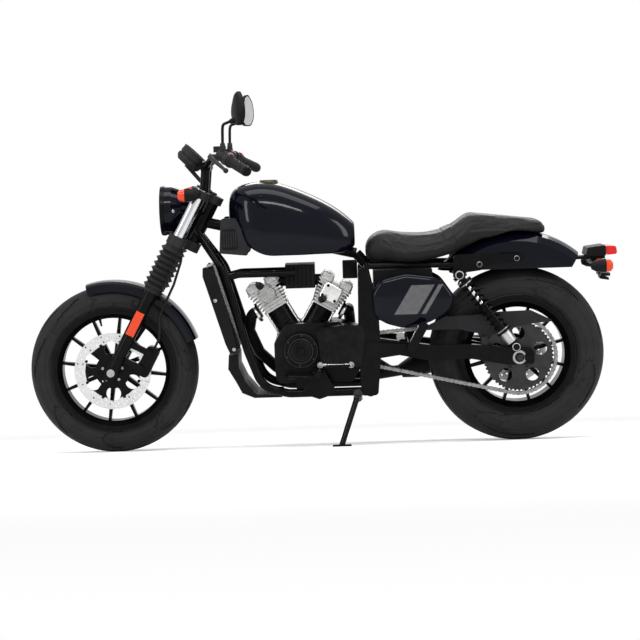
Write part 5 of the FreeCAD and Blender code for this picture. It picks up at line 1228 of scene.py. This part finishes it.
# %% [markdown]
# ## Engine dressing
# The engine is black, and what the eye reads on it is bright: the long studs that hold the barrels
# down, the flanges of the exhaust ports, one polished plate on the rear head, and lines of light on
# the glossy covers. A stud is a turned rod with a nut at its end.

# %% Barrel studs and exhaust flanges
crank = Vector((0.668, 0, 0.357))
half_v = math.radians(30)


def bank_axis(side):
    """Direction of a cylinder: -1 is the front one, 1 the rear one."""
    return Vector((side * math.sin(half_v), 0, math.cos(half_v)))


def bank_place(side, up, out, y):
    """A place on a cylinder: its height over the crank, its distance outwards, and y."""
    away = Vector((side * math.cos(half_v), 0, -math.sin(half_v)))
    return crank + bank_axis(side) * up + away * out + Vector((0, y, 0))


stud = ((0, 0), (0, 0.0046), (0.003, 0.0050), (0.008, 0.0050), (0.009, 0.0032), (0.076, 0.0032), (0.077, 0.0050),
        (0.082, 0.0050), (0.082, 0))
flange = ((0.004, 0.021), (0.004, 0.0295), (0.007, 0.031), (0.013, 0.031), (0.0155, 0.0285), (0.0155, 0.0225))
studs = []
for side in (-1, 1):
    for out in (-0.041, 0.041):
        studs.append(lathe(stud, bank_place(side, 0.084, out, -0.032), bank_axis(side), 20))
studs += [opposite(part) for part in studs]
settle(joined(studs), "barrel_studs", "chassis", "bright_alloy", smooth=40)
flanges = []
for side in (-1, 1):
    port = bank_place(side, 0.181, 0.060, 0)
    way = (bank_place(side, 0.181, 0.2, 0) - port).normalized()
    flanges.append(lathe(flange, port, way, 48, closed=True))
settle(joined(flanges), "port_flanges", "chassis", "bright_alloy", smooth=35)
print("studs and flanges:", len(studs), len(flanges))

# %% Head fins, cam boxes and plug caps
fins = []
for index in range(7):
    up = 0.196 + index * 0.0088
    half = 0.031 - 0.0012 * abs(index - 3)
    outline = [(-half, -0.064), (half, -0.064), (half - 0.004, -0.0795), (0.004 - half, -0.0795)]
    outline = soft_outline(outline, 0.003, 2)
    fin = plate([bank_place(-1, up, out, y) for out, y in outline], bank_axis(-1) * 0.0026)
    fins.append(rounded(fin, 0.0006, 1))
settle(joined(fins), "head_side_fins", "chassis", "cast_alloy", smooth=30)
boxes, head_bolts = [], []
box_outline = soft_box(-0.021, -0.019, 0.021, 0.019, 0.006, 4)
for side in (-1, 1):
    for out in (-0.0368, 0.0368):
        for y in (-0.046, 0.046):
            low = [bank_place(side, 0.255, out + a, y + b) for a, b in box_outline]
            box = plate(low, bank_axis(side) * 0.024)
            for amount, depth in ((0.0025, 0.002), (0.0030, -0.0015)):
                inset_end(box, lambda face: face.normal.dot(bank_axis(side)) > 0.99, amount, depth)
            boxes.append(rounded(box, 0.0008))
            head_bolts.append((bank_place(side, 0.2795, out, y), bank_axis(side), 0.0062))
            for groove in (-0.013, -0.0045, 0.004, 0.0125):
                rib = [bank_place(side, 0.257 + up, out + groove + across, y) for across, up in
                       ((0, 0), (0.0042, 0), (0.0042, 0.018), (0, 0.018))]
                outer = Vector((0, 0.0212 if y > 0 else -0.0212, 0))
                boxes.append(rounded(plate([place + outer * 0.85 for place in rib], outer * 0.15), 0.0007, 1))
settle(joined(boxes), "cam_boxes", "chassis", "cast_alloy", smooth=35)
outline = soft_box(-0.034, -0.030, 0.034, 0.032, 0.013, 5)
cover = plate([bank_place(1, 0.222 + b, a, -0.0655) for a, b in outline], LEFT * 0.009)
for amount, depth in ((0.0045, 0.0022), (0.0060, 0.0010)):
    inset_end(cover, lambda face: face.normal.y < -0.99 and face.calc_area() > 0.0005, amount, depth)
settle(rounded(cover, 0.0010), "head_plate", "chassis", "bright_alloy", smooth=40)
for out, up in ((-0.022, 0.243), (-0.025, 0.204), (0.024, 0.204)):
    head_bolts.append((bank_place(1, up, out, -0.0762), LEFT, 0.0052))
bolts("head_bolts", "chassis", "engine_black", socket, head_bolts)
cap_profile = ((0, 0), (0, 0.0095), (0.004, 0.0125), (0.018, 0.0125), (0.020, 0.0100), (0.036, 0.0092),
               (0.042, 0.0068), (0.042, 0))
front_plug = lathe(cap_profile, bank_place(-1, 0.262, 0.006, -0.056), Vector((-0.25, -1.0, 0.30)).normalized(), 28)
rear_plug = lathe(cap_profile, bank_place(1, 0.186, -0.020, -0.060), Vector((0.35, -1.0, 0.20)).normalized(), 28)
settle(joined([front_plug, rear_plug]), "plug_caps", "chassis", "rubber", smooth=40)
print("head dressing:", len(fins), len(boxes))

# %% [markdown]
# Between the seat tube and the battery box hangs a black finned voltage regulator, and a bright rod
# with a ball joint at each end runs from the gear pedal to the lever behind the cover.

# %% Regulator and shift rod
core = soft_box(0.822, 0.602, 0.874, 0.666, 0.004, 3)
regulator = [rounded(slab(core, -0.076, 0.018), 0.0012)]
for index in range(8):
    x = 0.8245 + index * 0.0064
    fin = [(x, 0.606), (x + 0.0026, 0.606), (x + 0.0026, 0.606 + 0.056), (x, 0.606 + 0.056)]
    regulator.append(rounded(slab(fin, -0.092, 0.013), 0.0007, 1))
settle(joined(regulator), "regulator", "chassis", "engine_black", smooth=35)
rod_from, rod_to = Vector((0.734, -0.1575, 0.308)), Vector((0.842, -0.1575, 0.306))
rod_way = rod_to - rod_from
shift = [lathe(((0.010, 0), (0.010, 0.0052), (0.022, 0.0052), (0.024, 0.0032), (0.084, 0.0032), (0.086, 0.0052),
                (0.098, 0.0052), (0.098, 0)), rod_from, rod_way, 20)]
ball = ((-0.005, 0.0052), (-0.005, 0.0100), (-0.003, 0.0115), (0.003, 0.0115), (0.005, 0.0100), (0.005, 0.0052))
pin = ((-0.010, 0), (-0.010, 0.0050), (0.007, 0.0050), (0.008, 0.0035), (0.008, 0))
for place in (rod_from, rod_to):
    shift.append(lathe(ball, place, LEFT, 32, closed=True))
    shift.append(lathe(pin, place, LEFT, 24))
settle(joined(shift), "shift_rod", "chassis", "steel", smooth=40)
print("regulator fins and rod parts:", len(regulator), len(shift))

# %% [markdown]
# The round cover on the left has three thin turned lines, a small cap in its middle and six bolts
# round it. The clutch cover on the right has a wider cap, and nine bolts round its edge.

# %% Rings, caps and cover bolts
def ring_on_cover(radius, y, width=0.0014):
    """A thin raised ring round the crank, seen from the left."""
    profile = ((0, radius - width), (-0.0008, radius - width * 0.6), (-0.0008, radius + width * 0.6),
               (0, radius + width), (0.0015, radius + width), (0.0015, radius - width))
    return lathe(profile, (crank.x, y, crank.z), RIGHT, 72, closed=True)


rings = [ring_on_cover(0.0585, -0.1312), ring_on_cover(0.0422, -0.1442), ring_on_cover(0.0335, -0.1405, 0.001)]
settle(joined(rings), "cover_rings", "chassis", "dark_steel", smooth=30)
clutch = Vector((0.742, 0, crank.z))
cap = lathe(((0, 0), (0, 0.014), (0.003, 0.015), (0.0062, 0.013), (0.0066, 0.008), (0.0056, 0.0072), (0.0056, 0)),
            crank + LEFT * 0.1378, LEFT, 40)
clutch_cap = lathe(((0, 0), (0, 0.03), (0.004, 0.03), (0.007, 0.026), (0.007, 0.012), (0.005, 0.01), (0.005, 0)),
                   clutch + RIGHT * 0.1338, RIGHT, 48)
settle(joined([cap, clutch_cap]), "cover_caps", "chassis", "engine_black", smooth=30)
cover_bolts = [(spot, LEFT, 0.0034) for spot in circle_of(crank + LEFT * 0.1306, 0.0525, 6, 25)]
cover_bolts += [(spot, RIGHT, 0.0038) for spot in circle_of(clutch + RIGHT * 0.1298, 0.077, 9, 10)]
bolts("cover_bolts", "chassis", "dark_steel", socket, cover_bolts)
print("cover bolts:", len(cover_bolts))

# %% [markdown]
# ## Radiator
# A radiator core is a stack of flat tubes with folded strips between them. Each tube is a thin bar
# with rounded edges, modelled once and copied up the core; the folded strip would need thousands of
# faces, so it is one comb of slanted slats, copied the same way.

# %% Radiator core
radiator_turn = Matrix.Translation((0.421, 0, 0.361)) @ Matrix.Rotation(math.radians(-16.6), 4, "Y")
row_step, slat_step = 0.0103, 0.0055


def up_the_core(pattern, first, rows):
    """Copies of a pattern at the height of each row, which then goes."""
    copies = [copy_of(pattern, radiator_turn @ Matrix.Translation((0, 0, first + row * row_step)))
              for row in range(rows)]
    discard(pattern)
    return copies


let_go()
bpy.ops.mesh.primitive_cube_add(size=1, location=(0.0028, 0, 0), scale=(0.006, 0.186, 0.0026))
core = up_the_core(rounded(baked_place(bpy.context.object), 0.0008), 0.012, 28)
let_go()
bpy.ops.mesh.primitive_plane_add(size=1, location=(0, 0, 0), rotation=(0, math.pi / 2, 0))
slat = baked_place(bpy.context.object, Matrix.Diagonal((1, 0.0006, 0.0079, 1)))
slat.data.transform(Matrix.Rotation(math.radians(14), 4, "X"))
edit(slat)
bpy.ops.mesh.select_all(action="SELECT")
bpy.ops.mesh.extrude_region_move(TRANSFORM_OT_translate={"value": (0.003, 0, 0)})
mend(slat)
comb = joined([copy_of(slat, Matrix.Translation((0.0015, -0.088 + place * slat_step, 0))) for place in range(33)])
discard(slat)
core += up_the_core(comb, 0.017, 27)
settle(joined(core), "radiator_core", "chassis", "engine_black", smooth=30)
shroud_bolts = [((0.376, -0.1315, 0.542), LEFT, 0.0062), ((0.435, -0.1315, 0.369), LEFT, 0.0062)]
bolts("shroud_bolts", "chassis", "steel", socket, shroud_bolts, both_sides=True)
print("radiator core ready")

# %% [markdown]
# ## Side covers
# The painted covers below the seat are domed. A dome with a free outline can be made from the outline
# itself: the face is raised again and again, less each time, and drawn in towards its middle. The
# rings of faces take smooth shading, and the paint shows one long soft reflection.
#
# Each cover carries a plain grey design: a broad slanted stripe with a narrow one behind it. A stripe
# starts as a grid, is leaned over, and every point of it is then laid on the dome by a ray.

# %% Side covers
cover_outline = ((0.920, 0.551), (0.954, 0.598), (1.039, 0.619), (1.130, 0.606), (1.174, 0.583), (1.208, 0.534),
                 (1.196, 0.498), (1.170, 0.471), (1.113, 0.444), (1.032, 0.427), (0.969, 0.445), (0.929, 0.470))
side_cover = slab(soft_outline(cover_outline, 0.016, 4), -0.152, 0.009)
domed(side_cover, lambda face: face.normal.y < -0.99 and face.calc_area() > 0.002, (1.060, -0.161, 0.528), (1, 0, 1),
      ((0.985, 0.0040), (0.975, 0.0036), (0.955, 0.0034), (0.93, 0.0030), (0.88, 0.0026), (0.8, 0.0020),
       (0.68, 0.0012), (0.5, 0.0006)))
mend(side_cover)
baked_place(side_cover)
print("cover faces:", len(side_cover.data.polygons))

# %% Stripes
def film():
    """Grey film: a fine metallic grain that is worn a little at random."""
    grey = Finish("grey film")
    grain = grey.noise(2600, 2)
    worn = grey.ramp(grey.noise(60, 4), ((0.4, 0.0), (0.75, 1.0)))
    colour = grey.blend(grain * 0.5 + worn * 0.5, (0.055, 0.056, 0.06, 1), (0.1, 0.1, 0.105, 1))
    return grey.surface(Base_Color=colour, Roughness=0.32 + worn * 0.12, Metallic=0.4,
                        Normal=grey.bump(grain, 0.00006, 0.4))


finishes["film"] = film()
skin = BVHTree.FromPolygons([corner.co for corner in side_cover.data.vertices],
                            [list(face.vertices) for face in side_cover.data.polygons])
stripes = []
stripe_low, stripe_tall, stripe_lean = 0.478, 0.100, 0.62
for foot, wide in ((0.996, 0.080), (1.090, 0.016)):
    let_go()
    bpy.ops.mesh.primitive_grid_add(x_subdivisions=12, y_subdivisions=18, size=1)
    bar = bpy.context.object
    for corner in bar.data.vertices:
        across, up = corner.co.x + 0.5, (corner.co.y + 0.5) * stripe_tall
        start = Vector((foot + across * wide + up * stripe_lean, -0.3, stripe_low + up))
        corner.co = skin.ray_cast(start, RIGHT)[0] + LEFT * 0.0003
    thick = bar.modifiers.new("film", "SOLIDIFY")
    thick.thickness, thick.offset = 0.0006, 1
    apply_all(bar)
    mend(bar)
    stripes.append(bar)
settle(both(joined(stripes)), "cover_stripes", "chassis", "film", smooth=30)
covers = settle(both(side_cover), "cover_shells", "chassis", "paint", smooth=50)
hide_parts("side_covers")
print("stripes:", len(stripes))

# %% [markdown]
# ## Frame, arm and axle bolts
# Large bolts with washers hold the engine, the swinging arm, the pegs and the shock absorbers. The
# axle at the back ends in a wide nut on a bright ring, and a block behind it sets how tight the chain
# is.

# %% Chassis bolts
chassis_bolts = [(place, LEFT, radius) for place, radius in (
    ((0.907, -0.1295, 0.372), 0.0115), ((0.894, -0.1145, 0.588), 0.0085), ((1.226, -0.1632, 0.606), 0.0085),
    ((1.417, -0.1632, 0.350), 0.0085), ((1.298, -0.1305, 0.639), 0.0062), ((1.428, -0.1305, 0.656), 0.0062),
    ((1.310, -0.1115, 0.378), 0.0060))]
bolts("chassis_bolts", "chassis", "frame_black", hexagon, chassis_bolts, both_sides=True)


def washer(place, radius):
    thick = 0.0022
    profile = ((0, radius * 0.5), (0, radius), (thick * 0.7, radius), (thick, radius * 0.93), (thick, radius * 0.5))
    return lathe(profile, place, LEFT, 40, closed=True)


washers = [washer((1.226, -0.1605, 0.606), 0.0150), washer((1.417, -0.1605, 0.350), 0.0142),
           washer((1.298, -0.1292, 0.639), 0.0096), washer((1.428, -0.1292, 0.656), 0.0096),
           washer((0.907, -0.1282, 0.372), 0.0170), washer((0.894, -0.1132, 0.588), 0.0128)]
shock_low, shock_top = Vector((1.417, -0.143, 0.350)), Vector((1.226, -0.143, 0.606))
shock_line = shock_top - shock_low
spring_seat = ((0, 0.017), (0, 0.0272), (0.0025, 0.0272), (0.0032, 0.026), (0.0032, 0.017))
for share in (0.236, 0.878):
    washers.append(lathe(spring_seat, shock_low + shock_line * share, shock_line, 40, closed=True))
washers += [opposite(part) for part in washers]
settle(joined(washers), "shock_washers", "chassis", "steel", smooth=30)
tube_end, tube_edge = shock_line.length * 0.232, shock_line.length * 0.225
foot_tube = lathe(((0.022, 0.0165), (0.022, 0.0192), (0.024, 0.0198), (tube_edge, 0.0198), (tube_end, 0.0185),
                   (tube_end, 0.0165)), shock_low, shock_line, 40, closed=True)
settle(both(foot_tube), "shock_tubes", "chassis", "cast_alloy", smooth=35)
rod_length = shock_line.length * 0.27
damper = lathe(((0, 0.0068), (0, 0.0076), (rod_length, 0.0076), (rod_length, 0.0068)),
               shock_low + shock_line * 0.605, shock_line, 32, closed=True)
settle(both(damper), "damper_rods", "chassis", "chrome", smooth=30)
print("chassis bolts:", len(chassis_bolts))

# %% Axle ends and chain adjusters
nut = lathe(((0, 0.009), (0, 0.0245), (0.0025, 0.0245), (0.004, 0.0232), (0.004, 0.009)),
            rear_axle + LEFT * 0.1318, LEFT, 48, closed=True)
settle(both(nut), "axle_rings", "chassis", "steel", smooth=30)
bolts("axle_nuts", "chassis", "dark_steel", hexagon, [(rear_axle + LEFT * 0.1342, LEFT, 0.0125)], both_sides=True)
block = soft_box(1.447, 0.2995, 1.478, 0.3215, 0.004, 3)
settle(both(rounded(slab(block, -0.1308, 0.006), 0.001)), "adjuster_blocks", "chassis", "frame_black", smooth=30)
print("axle ends ready")

# %% [markdown]
# ## Wheel trim
# The front axle's pinch bolts, the valve stems and the rivets that hold the brake disc's ring to its
# carrier are small, but they are what the eye meets inside an open wheel.

# %% Wheel trim
disc_face, rivet_r = 0.0744, 0.0052
rivets = [(spot, LEFT, rivet_r) for spot in circle_of(front_axle + LEFT * disc_face, 0.0985, 8, 22.5)]
bolts("disc_rivets", "front_wheel", "wheel_black", socket, rivets)
carrier_bolts = [(spot, LEFT, rivet_r) for spot in circle_of(front_axle + LEFT * disc_face, 0.036, 5, 90)]
bolts("carrier_bolts", "front_wheel", "steel", socket, carrier_bolts)
rear_bolts = [(spot, LEFT, 0.0065) for spot in circle_of(rear_axle + LEFT * 0.0955, 0.052, 5, 90)]
rear_bolts += [(spot, RIGHT, 0.0055) for spot in circle_of(rear_axle + RIGHT * 0.0865, 0.04, 5, 90)]
bolts("sprocket_bolts", "rear_wheel", "dark_steel", hexagon, rear_bolts)
valve_turn = 1.83
valve_profile = ((0, 0), (0, 0.0052), (0.004, 0.0045), (0.012, 0.0042), (0.014, 0.0036), (0.024, 0.0036),
                 (0.025, 0.003), (0.025, 0))
for axle, radius, body in ((front_axle, 0.1835, "front_wheel"), (rear_axle, 0.1675, "rear_wheel")):
    inwards = LEFT * 0.35 - around((0, 0, 0), 1, valve_turn)
    stem = lathe(valve_profile, around(axle, radius, valve_turn), inwards, 20)
    settle(stem, body + "_valve", body, "rubber", smooth=40)
fork_ahead = Vector((-math.cos(fork_rake), 0, -math.sin(fork_rake)))
fork_up = Vector((math.sin(fork_rake), 0, math.cos(fork_rake)))
fork_bolts = [(front_axle + fork_up * up + fork_ahead * 0.0218 + RIGHT * side * 0.106, fork_ahead, 0.0045)
              for up in (-0.022, 0.018) for side in (-1, 1)]
bolts("fork_bolts", "steering", "steel", socket, fork_bolts)
print("wheel trim ready")

# %% [markdown]
# ## The bolt patterns
# The two bolt patterns have been copied everywhere and go.

# %% Remove the bolt patterns
discard(hexagon, socket)
